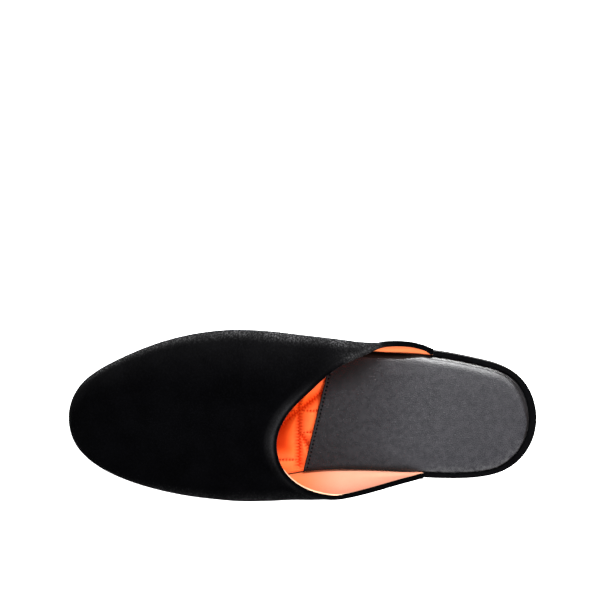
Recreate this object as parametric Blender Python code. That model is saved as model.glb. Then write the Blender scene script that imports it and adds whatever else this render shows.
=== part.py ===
"""Velvet mule for the right foot: a backless dress slipper with a hollow upper, a thin sole and a low heel.

The frame is in metres with +Z up. +X points to the toe and +Y to the wearer's left, which is the inner
(medial) side of a right shoe. The origin lies on the floor under the middle of the shoe.
Named sizes and tables are in millimetres. In the tables, along counts from the back of the heel to the toe,
lateral and medial are half widths to the outer and inner side of the heel-to-toe line, and heights count
from the floor.
"""

from collections import namedtuple

import bmesh
import bpy
import numpy as np

MM = 0.001
GAP = 0.3  # room left between two pieces that are glued in the real shoe

LENGTH = 288.0  # back of the heel to the front of the upper
SOLE_LENGTH = 286.6  # the toe of the upper leans out over the sole
HEEL_HEIGHT = 12.0
OUTSOLE = 4.5  # thickness of the sole, all along
TOE_SPRING = 9.0  # rise of the sole's tip off the floor
SEAT_FRONT = 62.0  # the heel seat is level behind this
TREAD_BACK = 163.0  # the forefoot lies flat on the floor from here
TREAD_FRONT = 196.0  # to here
BREAST = 70.0  # front face of the heel
HEEL_INSET = 1.0  # the heel's top stands this far inside the sole's edge
HEEL_TAPER = 1.6  # the heel narrows this much from its top to the floor

WALL = 2.4  # velvet, stiffener and lining together
FEATHER_INSET = 0.6  # the upper stands this far inside the sole's edge
COLLAR_ROLL = 0.5  # the turned edge of the collar stands out this much
COLLAR_ROLL_WIDTH = 4.0  # width of the turned edge
INSOLE = 3.0  # board and satin cover together
SOCK = 2.0  # thickness of the padded sock
SOCK_INSET = 0.2  # from the edge of the insole
SOCK_FRONT = 135.5  # front edge of the sock on the heel-to-toe line
SOCK_SLANT = 0.24  # the edge runs forward this much for each step to the medial side
RAND = 3.3  # thickness of the low rim round the heel seat
RAND_GAP = 0.65  # from each end of the rand to the end of the upper
RAND_RISE = 5.0  # height of the rand above the sole
RAND_FADE = 8.0  # over this length the footbed widens from the rand's inside to the upper's
FULLNESS = 2.0  # power of the curve from the widest line up to the ridge

ALONG_STEPS = 84  # cells of the upper round its edge
UP_SHARES = np.linspace(0.0, 1.0, 17) ** 1.4  # of the way from the sole to the roll of the collar
ROLL_STEPS = (1.0, 0.55, 0.2, 0.0)  # shares of the roll's width, from its foot to the edge
ACROSS_STEPS = 4  # cells across a sole, insole or sock
SOCK_STEPS = 22  # cells along the sock
HEEL_STEPS = 14  # cells along the heel
RAND_STEPS = 44  # cells round the rand
DENSE = 600  # lines tried out for the upper before an even spread is picked
GIRTH = 160.0  # about the way round the last at the instep
FAN_START = {"lateral": 0.35, "medial": 0.6}  # where the lines of the upper begin to fan out
FAN_POWER = 1.6  # how quickly they turn round the toe
TOE_CARE = 70.0  # extra weight, in millimetres a radian, that puts more of the lines at the toe

SoleRow = namedtuple("SoleRow", "along lateral medial")
SOLE_OUTLINE = (
    SoleRow(0.0, 0.0, 0.0),
    SoleRow(4.0, 17.0, 17.0),
    SoleRow(10.0, 25.3, 25.5),
    SoleRow(22.0, 32.9, 33.6),
    SoleRow(40.0, 37.7, 37.2),
    SoleRow(65.0, 41.5, 37.2),
    SoleRow(95.0, 43.6, 35.7),
    SoleRow(125.0, 46.2, 35.7),
    SoleRow(155.0, 50.0, 40.0),
    SoleRow(182.0, 52.2, 47.2),
    SoleRow(207.0, 50.4, 47.2),
    SoleRow(231.0, 44.9, 43.1),
    SoleRow(256.0, 34.9, 35.2),
    SoleRow(274.0, 24.4, 24.8),
    SoleRow(283.5, 13.2, 13.4),
    SoleRow(SOLE_LENGTH, 0.0, 0.0),
)

LastRow = namedtuple(
    "LastRow", "along lateral medial lateral_height medial_height ridge ridge_height"
)
LAST = (
    LastRow(62.0, 42.0, 36.9, 36.0, 38.0, 4.0, 56.0),
    LastRow(76.0, 46.8, 38.4, 36.0, 40.0, 6.0, 57.0),
    LastRow(90.0, 48.0, 41.0, 36.0, 41.0, 8.0, 57.5),
    LastRow(105.0, 47.0, 44.2, 32.0, 41.0, 10.0, 57.8),
    LastRow(120.0, 48.5, 46.6, 28.0, 40.0, 11.0, 57.6),
    LastRow(150.0, 51.9, 48.7, 23.0, 32.0, 10.5, 56.0),
    LastRow(180.0, 54.4, 50.5, 20.0, 24.0, 7.0, 50.2),
    LastRow(207.0, 52.3, 48.8, 18.5, 20.0, 4.0, 43.8),
    LastRow(231.0, 46.7, 44.7, 17.5, 18.0, 2.0, 38.5),
    LastRow(256.0, 36.7, 36.9, 17.0, 17.2, 1.0, 33.2),
    LastRow(275.0, 25.7, 26.1, 17.0, 17.0, 0.5, 27.7),
    LastRow(284.8, 13.9, 14.1, 17.2, 17.2, 0.0, 22.6),
    LastRow(LENGTH, 0.0, 0.0, 17.5, 17.5, 0.0, 17.5),
)

CollarRow = namedtuple("CollarRow", "along round")
COLLAR = (
    CollarRow(65.0, 0.041),
    CollarRow(78.0, 0.100),
    CollarRow(91.0, 0.143),
    CollarRow(107.0, 0.205),
    CollarRow(124.5, 0.275),
    CollarRow(140.0, 0.367),
    CollarRow(153.7, 0.458),
    CollarRow(160.3, 0.562),
    CollarRow(156.0, 0.658),
    CollarRow(147.0, 0.714),
    CollarRow(130.5, 0.768),
    CollarRow(109.0, 0.824),
    CollarRow(84.0, 0.901),
    CollarRow(70.0, 0.958),
)


def turn(along, length):
    """The angle from 0 at the heel to pi at the toe, in which rounded ends become straight lines."""
    return np.arccos(np.clip(1.0 - 2.0 * np.asarray(along, float) / length, -1.0, 1.0))


def along_at(angle, length):
    """The place along the shoe that turn() gave this angle."""
    return 0.5 * length * (1.0 - np.cos(angle))


def smooth_curve(knots, values):
    """A function that follows the values smoothly: a natural cubic spline over the knots."""
    knots, values = np.asarray(knots, float), np.asarray(values, float)
    step = np.diff(knots)
    slope = np.diff(values) / step
    count = len(knots)
    matrix, target = np.eye(count), np.zeros(count)
    for i in range(1, count - 1):
        matrix[i, i - 1 : i + 2] = step[i - 1], 2.0 * (step[i - 1] + step[i]), step[i]
        target[i] = 6.0 * (slope[i] - slope[i - 1])
    bend = np.linalg.solve(matrix, target)

    def curve(place):
        place = np.asarray(place, float)
        i = np.clip(np.searchsorted(knots, place) - 1, 0, count - 2)
        ahead, behind = knots[i + 1] - place, place - knots[i]
        cubic = (bend[i] * ahead**3 + bend[i + 1] * behind**3) / (6.0 * step[i])
        start = (values[i] / step[i] - bend[i] * step[i] / 6.0) * ahead
        end = (values[i + 1] / step[i] - bend[i + 1] * step[i] / 6.0) * behind
        return cubic + start + end

    return curve


def table_curve(table, column, length):
    """A column of a table as a smooth function of the turn angle."""
    return smooth_curve(
        [turn(row.along, length) for row in table],
        [getattr(row, column) for row in table],
    )


SOLE_CURVES = {name: table_curve(SOLE_OUTLINE, name, SOLE_LENGTH) for name in ("lateral", "medial")}
LAST_CURVES = {name: table_curve(LAST, name, LENGTH) for name in LastRow._fields[1:]}
MIDDLE = 0.5 * (max(row.lateral for row in LAST) - max(row.medial for row in LAST))


def sole_bottom(along):
    """Height of the underside: level heel seat, arch, flat tread and toe spring."""
    rise = np.clip((TREAD_BACK - along) / (TREAD_BACK - SEAT_FRONT), 0.0, 1.0)
    spring = np.clip((along - TREAD_FRONT) / (SOLE_LENGTH - TREAD_FRONT), 0.0, 1.2)
    return HEEL_HEIGHT * rise**2 * (3.0 - 2.0 * rise) + TOE_SPRING * spring**2


def sole_top(along):
    """Height of the sole's upper face."""
    return sole_bottom(along) + OUTSOLE


def insole_top(along):
    """Height of the footbed."""
    return sole_top(along) + GAP + INSOLE


def sock_top(along):
    """Height of the sock's upper face."""
    return insole_top(along) + GAP + SOCK


def sole_side(angles, side, inset):
    """One side of the sole's outline as rows of along and across, moved in by inset along its normals."""
    sign = -1.0 if side == "lateral" else 1.0
    half = SOLE_CURVES[side]

    def place(angle):
        return np.column_stack([along_at(angle, SOLE_LENGTH), sign * half(angle)])

    angles = np.atleast_1d(angles)
    reach = 0.002
    tangent = place(np.minimum(angles + reach, np.pi)) - place(np.maximum(angles - reach, 0.0))
    tangent /= np.linalg.norm(tangent, axis=1, keepdims=True)
    outward = sign * np.column_stack([-tangent[:, 1], tangent[:, 0]])
    points = place(angles) - np.reshape(inset, (-1, 1)) * outward
    points[(angles <= 0.0) | (angles >= np.pi), 1] = 0.0
    return points


class Skin:
    """Collects faces by their corners: equal corners become one vertex, collapsed faces are dropped."""

    def __init__(self):
        self.numbers = {}
        self.faces = []

    def corner(self, point):
        """The number of the vertex at this point in millimetres."""
        key = tuple(round(float(value), 4) for value in point)
        return self.numbers.setdefault(key, len(self.numbers))

    def face(self, corners):
        """Adds a face, with corners that fall together taken once."""
        ids = list(dict.fromkeys(self.corner(point) for point in corners))
        if len(ids) > 2:
            self.faces.append(ids)

    def grid(self, rows):
        """Adds the cells between rows of points that all have the same count."""
        for low, high in zip(rows[:-1], rows[1:]):
            for k in range(len(low) - 1):
                self.face((low[k], low[k + 1], high[k + 1], high[k]))

    def object(self, name, colour, roughness):
        """The closed mesh as an object in metres about the middle of the shoe, its faces looking outward."""
        points = np.array(list(self.numbers), float)
        points -= np.array([0.5 * LENGTH, -MIDDLE, 0.0])
        mesh = bpy.data.meshes.new(name)
        mesh.from_pydata((points * MM).tolist(), [], self.faces)
        soup = bmesh.new()
        soup.from_mesh(mesh)
        bmesh.ops.triangulate(soup, faces=soup.faces)
        bmesh.ops.recalc_face_normals(soup, faces=soup.faces)
        soup.to_mesh(mesh)
        soup.free()
        thing = bpy.data.objects.new(name, mesh)
        mesh.materials.append(finish(name, colour, roughness))
        bpy.context.scene.collection.objects.link(thing)
        return thing


def finish(name, colour, roughness):
    """A plain Principled material."""
    material = bpy.data.materials.new(name + "_finish")
    material.use_nodes = True
    shader = material.node_tree.nodes["Principled BSDF"]
    shader.inputs["Base Color"].default_value = (*colour, 1.0)
    shader.inputs["Roughness"].default_value = roughness
    return material


def slab(rails, layers):
    """A closed slab from its bottom layer to its top one.

    rails(inset) gives the lateral and medial side as points from heel to toe, and each layer is an inset
    with the height it has at a place along the shoe.
    """
    across = np.linspace(0.0, 1.0, ACROSS_STEPS + 1)[None, :, None]
    skin = Skin()
    rims = []
    for inset, height in layers:
        lateral, medial = rails(inset)
        flat = lateral[:, None, :] * (1.0 - across) + medial[:, None, :] * across
        rows = np.dstack([flat, height(flat[:, :, 0])])
        rims.append(np.vstack([rows[:, 0], rows[-1, 1:-1], rows[::-1, -1], rows[0, -2::-1]]))
        if len(rims) in (1, len(layers)):
            skin.grid(rows)
    skin.grid(rims)
    return skin


def lining_inset(angles, side):
    """How far inside the sole's edge the footbed ends: behind the rand, and further on behind the upper."""
    start = COLLAR[0 if side == "lateral" else -1].along
    share = np.clip((along_at(angles, SOLE_LENGTH) - start) / RAND_FADE, 0.0, 1.0)
    return FEATHER_INSET + RAND + (WALL - RAND) * share**2 * (3.0 - 2.0 * share) + GAP


def stations():
    """Angles of the rows of a slab from heel to toe, with a row at each end of the flat tread."""
    back, front = turn(TREAD_BACK, SOLE_LENGTH), turn(TREAD_FRONT, SOLE_LENGTH)
    waist = np.linspace(0.0, back, 20)
    tread = np.linspace(back, front, 4)[1:]
    toe = np.linspace(front, np.pi, 16)[1:]
    return np.concatenate([waist, tread, toe])


def sole_rails(inset):
    """Rails of the sole."""
    return [sole_side(stations(), side, inset) for side in ("lateral", "medial")]


def insole_rails(inset):
    """Rails of the footbed, which lies inside the rand and the upper."""
    angles = stations()
    rails = []
    for side in ("lateral", "medial"):
        rails.append(sole_side(angles, side, lining_inset(angles, side) + inset))
    return rails


def heel_rails(inset):
    """Rails of the heel, from its back to its straight front face."""
    angles = np.linspace(0.0, turn(BREAST, SOLE_LENGTH), HEEL_STEPS + 1)
    rails = [sole_side(angles, side, inset) for side in ("lateral", "medial")]
    for points in rails:
        points[-1, 0] = BREAST
    return rails


def sock_rails(inset):
    """Rails of the sock, from the heel to its slanted front edge."""
    rails = []
    for side in ("lateral", "medial"):
        front = SOCK_FRONT
        for _ in range(4):
            angle = turn(front, SOLE_LENGTH)
            corner = sole_side(angle, side, lining_inset(angle, side) + inset)[0]
            front += SOCK_FRONT - inset + SOCK_SLANT * corner[1] - corner[0]
        angles = np.linspace(0.0, turn(front, SOLE_LENGTH), SOCK_STEPS + 1)
        rails.append(sole_side(angles, side, lining_inset(angles, side) + inset))
    return rails


def above(surface, rise):
    """The height function that lies this far over another one."""
    return lambda along: surface(along) + rise


def make_outsole():
    """The sole, with rounded edges."""
    layers = (
        (1.2, sole_bottom),
        (0.0, above(sole_bottom, 1.0)),
        (0.0, above(sole_top, -0.8)),
        (0.7, sole_top),
    )
    slab(sole_rails, layers).object("outsole", (0.012, 0.011, 0.011), 0.45)


def make_heel():
    """The low heel block, narrower at the floor."""
    foot = HEEL_INSET + HEEL_TAPER
    layers = (
        (foot + 0.7, above(np.zeros_like, 0.0)),
        (foot, above(np.zeros_like, 0.8)),
        (HEEL_INSET, above(sole_bottom, -GAP)),
    )
    slab(heel_rails, layers).object("heel", (0.014, 0.013, 0.012), 0.4)


def make_insole():
    """The footbed board with its cover, one piece from heel to toe."""
    layers = (
        (0.0, above(sole_top, GAP)),
        (0.0, above(insole_top, -0.8)),
        (0.8, insole_top),
    )
    slab(insole_rails, layers).object("insole", (0.9, 0.13, 0.02), 0.4)


def make_sock():
    """The leather sock over the heel and waist of the footbed."""
    layers = (
        (SOCK_INSET, above(insole_top, GAP)),
        (SOCK_INSET, above(sock_top, -1.0)),
        (SOCK_INSET + 0.35, above(sock_top, -0.3)),
        (SOCK_INSET + 1.1, sock_top),
    )
    slab(sock_rails, layers).object("sock", (0.05, 0.05, 0.055), 0.4)


def make_rand():
    """The low rim round the heel seat, a band with a rounded top between the two ends of the collar."""
    ends = [turn(COLLAR[k].along - RAND_GAP, SOLE_LENGTH) for k in (0, -1)]
    inner, outer = FEATHER_INSET + RAND, FEATHER_INSET
    profile = (
        (outer, 0.0),
        (outer, RAND_RISE - 1.4),
        (outer + 0.4, RAND_RISE - 0.5),
        (0.5 * (outer + inner), RAND_RISE),
        (inner - 0.4, RAND_RISE - 0.5),
        (inner, RAND_RISE - 1.4),
        (inner, 0.0),
    )
    strands = []
    for inset, rise in profile:
        sides = [
            sole_side(np.linspace(ends[0], 0.0, RAND_STEPS // 2 + 1), "lateral", inset),
            sole_side(np.linspace(0.0, ends[1], RAND_STEPS // 2 + 1), "medial", inset)[1:],
        ]
        flat = np.vstack(sides)
        strands.append(np.column_stack([flat, sole_top(flat[:, 0]) + GAP + rise]))
    rows = np.stack(strands, axis=1)
    skin = Skin()
    skin.grid(np.concatenate([rows, rows[:, :1]], axis=1))
    skin.face(rows[0])
    skin.face(rows[-1])
    skin.object("heel_rand", (0.006, 0.006, 0.007), 0.8)


def last_at(angle):
    """The last's measures at a turn angle, by column name."""
    return {name: curve(angle) for name, curve in LAST_CURVES.items()}


def dome_height(along, across):
    """Height of the upper above its widest line."""
    last = last_at(turn(along, LENGTH))
    outer = across < last["ridge"]
    reach = np.where(outer, last["ridge"] + last["lateral"], last["medial"] - last["ridge"])
    foot = np.where(outer, last["lateral_height"], last["medial_height"])
    share = np.clip(np.abs(across - last["ridge"]) / np.maximum(reach, 1e-6), 0.0, 1.0)
    return foot + (last["ridge_height"] - foot) * (1.0 - share**FULLNESS) ** (1.0 / FULLNESS)


def side_wall(angle, side, shares):
    """Points up the side of the upper, from the sole to its widest line, which it meets upright."""
    low = sole_side(angle, side, FEATHER_INSET)[0]
    sign = -1.0 if side == "lateral" else 1.0
    last = last_at(angle)
    wide = np.array([along_at(angle, LENGTH), sign * last[side]])
    out = (1.0 - (1.0 - shares) ** 2)[:, None]
    base = sole_top(low[0]) + GAP
    heights = base + (last[side + "_height"] - base) * shares
    return np.column_stack([low + (wide - low) * out, heights])


def dome_line(start, end, shares):
    """Points over the top of the upper, straight in plan from start to end."""
    flat = start[None, :2] + (end[:2] - start[:2])[None, :] * shares[:, None]
    return np.column_stack([flat, dome_height(flat[:, 0], flat[:, 1])])


def lengths(points):
    """Distance from the first point to each point, along the line."""
    return np.concatenate([[0.0], np.cumsum(np.linalg.norm(np.diff(points, axis=0), axis=1))])


def at_length(points, places):
    """Points at the given distances along a line."""
    run = lengths(points)
    return np.column_stack([np.interp(places, run, points[:, k]) for k in range(3)])


def collar_point(along, share):
    """A point of the last at a share of the way round it, and how far up the side wall it lies.

    The second value is over 1 where the point lies above the wall.
    """
    angle = turn(along, LENGTH)
    shares = np.linspace(0.0, 1.0, 25)
    walls = {side: side_wall(angle, side, shares) for side in ("lateral", "medial")}
    ridge = np.array([along, last_at(angle)["ridge"]])
    easing = np.linspace(0.0, 1.0, 61) ** 2
    domes = {side: dome_line(wall[-1], ridge, easing) for side, wall in walls.items()}
    rising = np.vstack([walls["lateral"], domes["lateral"][1:]])
    falling = np.vstack([domes["medial"][-2::-1], walls["medial"][-2::-1]])
    whole = np.vstack([rising, falling])
    total = lengths(whole)[-1]
    near = "lateral" if share < 0.5 else "medial"
    reach = total * min(share, 1.0 - share)
    return at_length(whole, [share * total])[0], reach / lengths(walls[near])[-1]


def collar_line(count):
    """The collar as rows of along and share, evenly spaced from its lateral end to its medial end."""
    rows = np.array(COLLAR, float)
    knots = lengths(np.column_stack([rows[:, 0], rows[:, 1] * GIRTH, np.zeros(len(rows))]))
    curves = [smooth_curve(knots, rows[:, k]) for k in range(2)]
    places = np.linspace(0.0, knots[-1], count)
    return np.column_stack([curve(places) for curve in curves])


def upper_path(row, side, progress):
    """The line from the sole up to one point of the collar.

    progress goes from 0 at the collar's end to 1 at its throat, and fans the feet of the lines out round
    the toe.
    """
    top, share = collar_point(*row)
    angle = turn(row[0], LENGTH)
    if share <= 1.0:
        wall = side_wall(angle, side, np.linspace(0.0, 1.0, 41))
        return at_length(wall, np.linspace(0.0, share * lengths(wall)[-1], 41))
    fan = max(0.0, (progress - FAN_START[side]) / (1.0 - FAN_START[side])) ** FAN_POWER
    foot = angle + (np.pi - angle) * fan
    wall = side_wall(foot, side, np.linspace(0.0, 1.0, 25))
    return np.vstack([wall, dome_line(wall[-1], top, np.linspace(0.0, 1.0, 121)[1:] ** 2)])


def upper_paths():
    """Lines from the sole to the collar, spread evenly round the upper."""
    rows = collar_line(DENSE)
    throat = int(np.argmax(rows[:, 0]))
    last = DENSE - 1
    paths = [upper_path(rows[k], "lateral", k / throat) for k in range(throat + 1)]
    for k in range(throat + 1, DENSE):
        paths.append(upper_path(rows[k], "medial", (last - k) / (last - throat)))
    feet, tops = (np.array([path[end] for path in paths]) for end in (0, -1))
    bends = np.abs(np.diff(turn(feet[:, 0], SOLE_LENGTH), prepend=turn(feet[0, 0], SOLE_LENGTH)))
    spread = lengths(feet) + lengths(tops) + TOE_CARE * np.cumsum(bends)
    middle = spread[throat]
    half = ALONG_STEPS // 2
    rising = np.linspace(0.0, middle, half + 1)
    falling = np.linspace(middle, spread[-1], half + 1)[1:]
    wanted = np.concatenate([rising, falling])
    picks = np.unique([int(np.argmin(np.abs(spread - place))) for place in wanted])
    return [paths[k] for k in picks]


def outer_face():
    """The outside of the upper as rows round the edge, each from the sole to the collar."""
    rows = []
    for path in upper_paths():
        whole = lengths(path)[-1]
        roll = min(COLLAR_ROLL_WIDTH, 0.4 * whole)
        places = np.concatenate(
            [(whole - roll) * UP_SHARES, whole - roll * np.array(ROLL_STEPS[1:])]
        )
        rows.append(at_length(path, places))
    return np.array(rows)


def outward(face):
    """Normals of a face given as a grid, pointing out of the shoe."""
    round_edge, upward = np.gradient(face, axis=0), np.gradient(face, axis=1)
    normals = np.cross(round_edge, upward)
    normals /= np.linalg.norm(normals, axis=2, keepdims=True)
    return normals


def make_upper():
    """The hollow upper: an outer and an inner face joined at the sole, the collar and both ends."""
    outer = outer_face()
    normals = outward(outer)
    inner = outer - WALL * normals
    roll = np.interp(ROLL_STEPS, (0.0, 0.2, 0.55, 1.0), (0.6, 1.0, 0.8, 0.0)) * COLLAR_ROLL
    outer[:, -len(ROLL_STEPS) :] += roll[None, :, None] * normals[:, -len(ROLL_STEPS) :]
    level = normals[:, 0] * np.array([1.0, 1.0, 0.0])
    level /= np.linalg.norm(level, axis=1, keepdims=True)
    inner[:, 0] = outer[:, 0] - WALL * level
    inner[:, 0, 2] = sole_top(inner[:, 0, 0]) + GAP
    upward = outer[:, -1] - outer[:, -2]
    upward /= np.linalg.norm(upward, axis=1, keepdims=True)
    edge = 0.5 * (outer[:, -1] + inner[:, -1]) + 0.45 * WALL * upward
    rows = np.concatenate([outer, edge[:, None], inner[:, ::-1], outer[:, :1]], axis=1)
    skin = Skin()
    skin.grid(rows)
    for end in (0, -1):
        skin.grid([outer[end], inner[end]])
        skin.face((outer[end, -1], edge[end], inner[end, -1]))
    skin.object("upper", (0.006, 0.006, 0.007), 0.9)


def clear_scene():
    """Removes what a new file starts with."""
    for thing in list(bpy.data.objects):
        bpy.data.objects.remove(thing, do_unlink=True)


def main():
    """Builds the six pieces."""
    clear_scene()
    make_outsole()
    make_heel()
    make_insole()
    make_sock()
    make_rand()
    make_upper()


main()
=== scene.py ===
"""Velvet mule for the right foot: the looks of the shoe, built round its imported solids.

Sizes and tables are in millimetres, in the shoe's own measures: along counts from the back of the heel to the
toe, across from the heel-to-toe line to the medial (inner) side, and heights from the floor. Pieces are
written in the frame of the solids, in metres, with +X to the toe, +Y to the medial side and +Z up.
"""

import logging
import math
from collections.abc import Callable, Sequence
from dataclasses import dataclass, field
from enum import Enum
from typing import NamedTuple

import bmesh
import bpy
import numpy as np
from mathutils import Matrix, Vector
from mathutils.bvhtree import BVHTree

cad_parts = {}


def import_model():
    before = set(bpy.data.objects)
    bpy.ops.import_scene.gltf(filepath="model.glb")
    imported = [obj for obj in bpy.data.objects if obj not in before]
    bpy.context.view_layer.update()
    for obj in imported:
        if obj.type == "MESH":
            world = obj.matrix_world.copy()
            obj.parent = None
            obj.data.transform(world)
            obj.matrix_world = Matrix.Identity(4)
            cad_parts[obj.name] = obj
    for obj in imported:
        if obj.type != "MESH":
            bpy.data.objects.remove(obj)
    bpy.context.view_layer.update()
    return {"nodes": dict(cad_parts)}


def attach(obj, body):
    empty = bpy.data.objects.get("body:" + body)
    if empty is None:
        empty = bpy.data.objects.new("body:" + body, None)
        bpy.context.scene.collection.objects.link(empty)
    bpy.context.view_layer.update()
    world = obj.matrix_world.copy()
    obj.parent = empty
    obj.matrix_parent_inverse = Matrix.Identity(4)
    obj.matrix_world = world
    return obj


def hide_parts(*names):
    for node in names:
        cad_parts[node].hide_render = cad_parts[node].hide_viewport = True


Array = np.ndarray
Colour = tuple[float, float, float]
Curve = Callable[[Array], Array]
Material = bpy.types.Material
Node = bpy.types.Node
NodeTree = bpy.types.NodeTree
Piece = bpy.types.Object
Socket = bpy.types.NodeSocket

LOG = logging.getLogger("mule")
MM = 0.001
BODY = "root"
MERGE = 2e-6  # metres; corners nearer than this become one
FLAT_RING = 0.01  # square millimetres; an end ring of less area needs no cap


class Side(Enum):
    """The two sides of a right shoe, with the sign that across has there."""

    LATERAL = -1.0
    MEDIAL = 1.0

    @property
    def column(self) -> str:
        """Name of the table column that holds this side's half widths."""
        return self.name.lower()


class Slot(Enum):
    """Material slots of the record."""

    VELVET = "velvet"
    SATIN = "satin"
    SOCK = "sock_leather"
    SOLE = "sole_leather"
    HEEL = "heel_leather"


class SoleRow(NamedTuple):
    """Half widths of the sole at a place along it."""

    along: float
    lateral: float
    medial: float


class LastRow(NamedTuple):
    """Measures of the upper at a place along it."""

    along: float
    lateral: float
    medial: float
    lateral_height: float
    medial_height: float
    ridge: float
    ridge_height: float


class CollarRow(NamedTuple):
    """A point of the collar: its place along, and its share of the way round from the lateral sole edge."""

    along: float
    round: float


class Crease(NamedTuple):
    """A soft trough (depth over 0) or ridge (under 0) of the velvet along a straight line seen from above."""

    along: float
    across: float
    along_end: float
    across_end: float
    width: float
    depth: float


class Seam(Enum):
    """How a line of the quilting is sewn."""

    ZIGZAG = "zigzag"
    ROW = "row"


class QuiltLine(NamedTuple):
    """A sewn line of the quilting, from the node of its tile."""

    along: float
    across: float
    along_end: float
    across_end: float
    seam: Seam = Seam.ZIGZAG


class SewnSpan(NamedTuple):
    """How sewn lines are followed: the step from point to point, and both ends along the shoe."""

    step: float
    back: float
    front: float


LENGTH = 288.0
SOLE_LENGTH = 286.6
SOLE_OUTLINE = (
    SoleRow(0.0, 0.0, 0.0),
    SoleRow(4.0, 17.0, 17.0),
    SoleRow(10.0, 25.3, 25.5),
    SoleRow(22.0, 32.9, 33.6),
    SoleRow(40.0, 37.7, 37.2),
    SoleRow(65.0, 42.0, 37.2),
    SoleRow(95.0, 43.6, 35.7),
    SoleRow(125.0, 46.2, 35.7),
    SoleRow(155.0, 50.0, 40.0),
    SoleRow(182.0, 52.2, 47.2),
    SoleRow(207.0, 50.4, 47.2),
    SoleRow(231.0, 44.9, 43.1),
    SoleRow(256.0, 34.9, 35.2),
    SoleRow(274.0, 24.4, 24.8),
    SoleRow(283.5, 13.2, 13.4),
    SoleRow(SOLE_LENGTH, 0.0, 0.0),
)
LAST = (
    LastRow(62.0, 43.6, 36.9, 36.0, 38.0, 4.0, 56.0),
    LastRow(76.0, 47.0, 38.4, 36.0, 40.0, 6.0, 57.0),
    LastRow(90.0, 47.4, 41.0, 36.0, 41.0, 8.0, 57.5),
    LastRow(105.0, 47.2, 44.2, 32.0, 41.0, 10.0, 57.8),
    LastRow(120.0, 48.5, 46.6, 28.0, 40.0, 11.0, 57.6),
    LastRow(150.0, 51.9, 48.7, 23.0, 32.0, 10.5, 56.0),
    LastRow(180.0, 54.4, 50.5, 20.0, 24.0, 7.0, 50.2),
    LastRow(207.0, 52.3, 48.8, 18.5, 20.0, 4.0, 43.8),
    LastRow(231.0, 46.7, 44.7, 17.5, 18.0, 2.0, 38.5),
    LastRow(256.0, 36.7, 36.9, 17.0, 17.2, 1.0, 33.2),
    LastRow(275.0, 25.7, 26.1, 17.0, 17.0, 0.5, 27.7),
    LastRow(284.8, 13.9, 14.1, 17.2, 17.2, 0.0, 22.6),
    LastRow(LENGTH, 0.0, 0.0, 17.5, 17.5, 0.0, 17.5),
)
COLLAR = (
    CollarRow(63.6, 0.041),
    CollarRow(78.0, 0.100),
    CollarRow(91.0, 0.143),
    CollarRow(107.0, 0.205),
    CollarRow(124.5, 0.275),
    CollarRow(140.0, 0.367),
    CollarRow(153.7, 0.458),
    CollarRow(160.3, 0.562),
    CollarRow(156.0, 0.658),
    CollarRow(147.0, 0.714),
    CollarRow(130.5, 0.768),
    CollarRow(109.0, 0.824),
    CollarRow(84.0, 0.901),
    CollarRow(70.0, 0.958),
)
CREASES = (
    Crease(112.0, -42.0, 130.0, -30.0, 4.5, 0.45),
    Crease(96.0, -49.0, 118.0, -41.0, 6.0, 0.30),
    Crease(176.0, -46.0, 190.0, -8.0, 9.0, 0.30),
    Crease(196.0, 44.0, 184.0, 14.0, 9.0, 0.28),
    Crease(214.0, -38.0, 222.0, 4.0, 12.0, -0.22),
    Crease(168.0, 30.0, 150.0, 44.0, 7.0, 0.30),
    Crease(172.0, 2.0, 205.0, 6.0, 14.0, -0.20),
)
DIP = (115.0, -38.2, 99.0, -45.0)  # line of painted sheen where the collar dips at the lateral side
QUILT_MOTIF = (
    QuiltLine(0.0, -30.7, 0.0, 30.7),
    QuiltLine(19.0, -30.7, 19.0, 30.7),
    QuiltLine(-19.0, -15.4, 19.0, 15.4),
    QuiltLine(-19.0, 0.0, 19.0, 0.0, Seam.ROW),
    QuiltLine(-19.0, 13.5, 0.0, 13.5, Seam.ROW),
    QuiltLine(0.0, 13.5, -19.0, 40.5),
    QuiltLine(0.0, 30.7, 19.0, 30.7, Seam.ROW),
)


def ease(share: Array | float) -> Array:
    """A share from 0 to 1 that starts and stops gently."""
    share = np.clip(share, 0.0, 1.0)
    return share * share * (3.0 - 2.0 * share)


def bell(distance: Array, width: float) -> Array:
    """A soft hump: 1 at no distance, and next to nothing beyond twice the width."""
    return np.exp(-((distance / width) ** 2))


class Ramp(NamedTuple):
    """A gentle step from 0 at its start to 1 a reach further on; a reach under 0 runs the other way."""

    start: float
    reach: float

    def up(self, place: Array) -> Array:
        """How far the step has risen at a place."""
        return ease((place - self.start) / self.reach)

    def down(self, place: Array) -> Array:
        """How much of the step is still to come at a place."""
        return 1.0 - self.up(place)


def smooth_curve(knots: Sequence[float], values: Sequence[float]) -> Curve:
    """A natural cubic spline.

    Args:
        knots: Rising places.
        values: What the curve passes through there.

    Returns:
        The curve as a function of the place.
    """
    knots, values = np.asarray(knots, float), np.asarray(values, float)
    step = np.diff(knots)
    slope = np.diff(values) / step
    count = len(knots)
    matrix, target = np.eye(count), np.zeros(count)
    for i in range(1, count - 1):
        matrix[i, i - 1 : i + 2] = step[i - 1], 2.0 * (step[i - 1] + step[i]), step[i]
        target[i] = 6.0 * (slope[i] - slope[i - 1])
    bend = np.linalg.solve(matrix, target)

    def curve(place: Array) -> Array:
        """Value of the spline at a place."""
        place = np.asarray(place, float)
        i = np.clip(np.searchsorted(knots, place) - 1, 0, count - 2)
        ahead, behind = knots[i + 1] - place, place - knots[i]
        cubic = (bend[i] * ahead**3 + bend[i + 1] * behind**3) / (6.0 * step[i])
        start = (values[i] / step[i] - bend[i] * step[i] / 6.0) * ahead
        end = (values[i + 1] / step[i] - bend[i + 1] * step[i] / 6.0) * behind
        return cubic + start + end

    return curve


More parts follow.
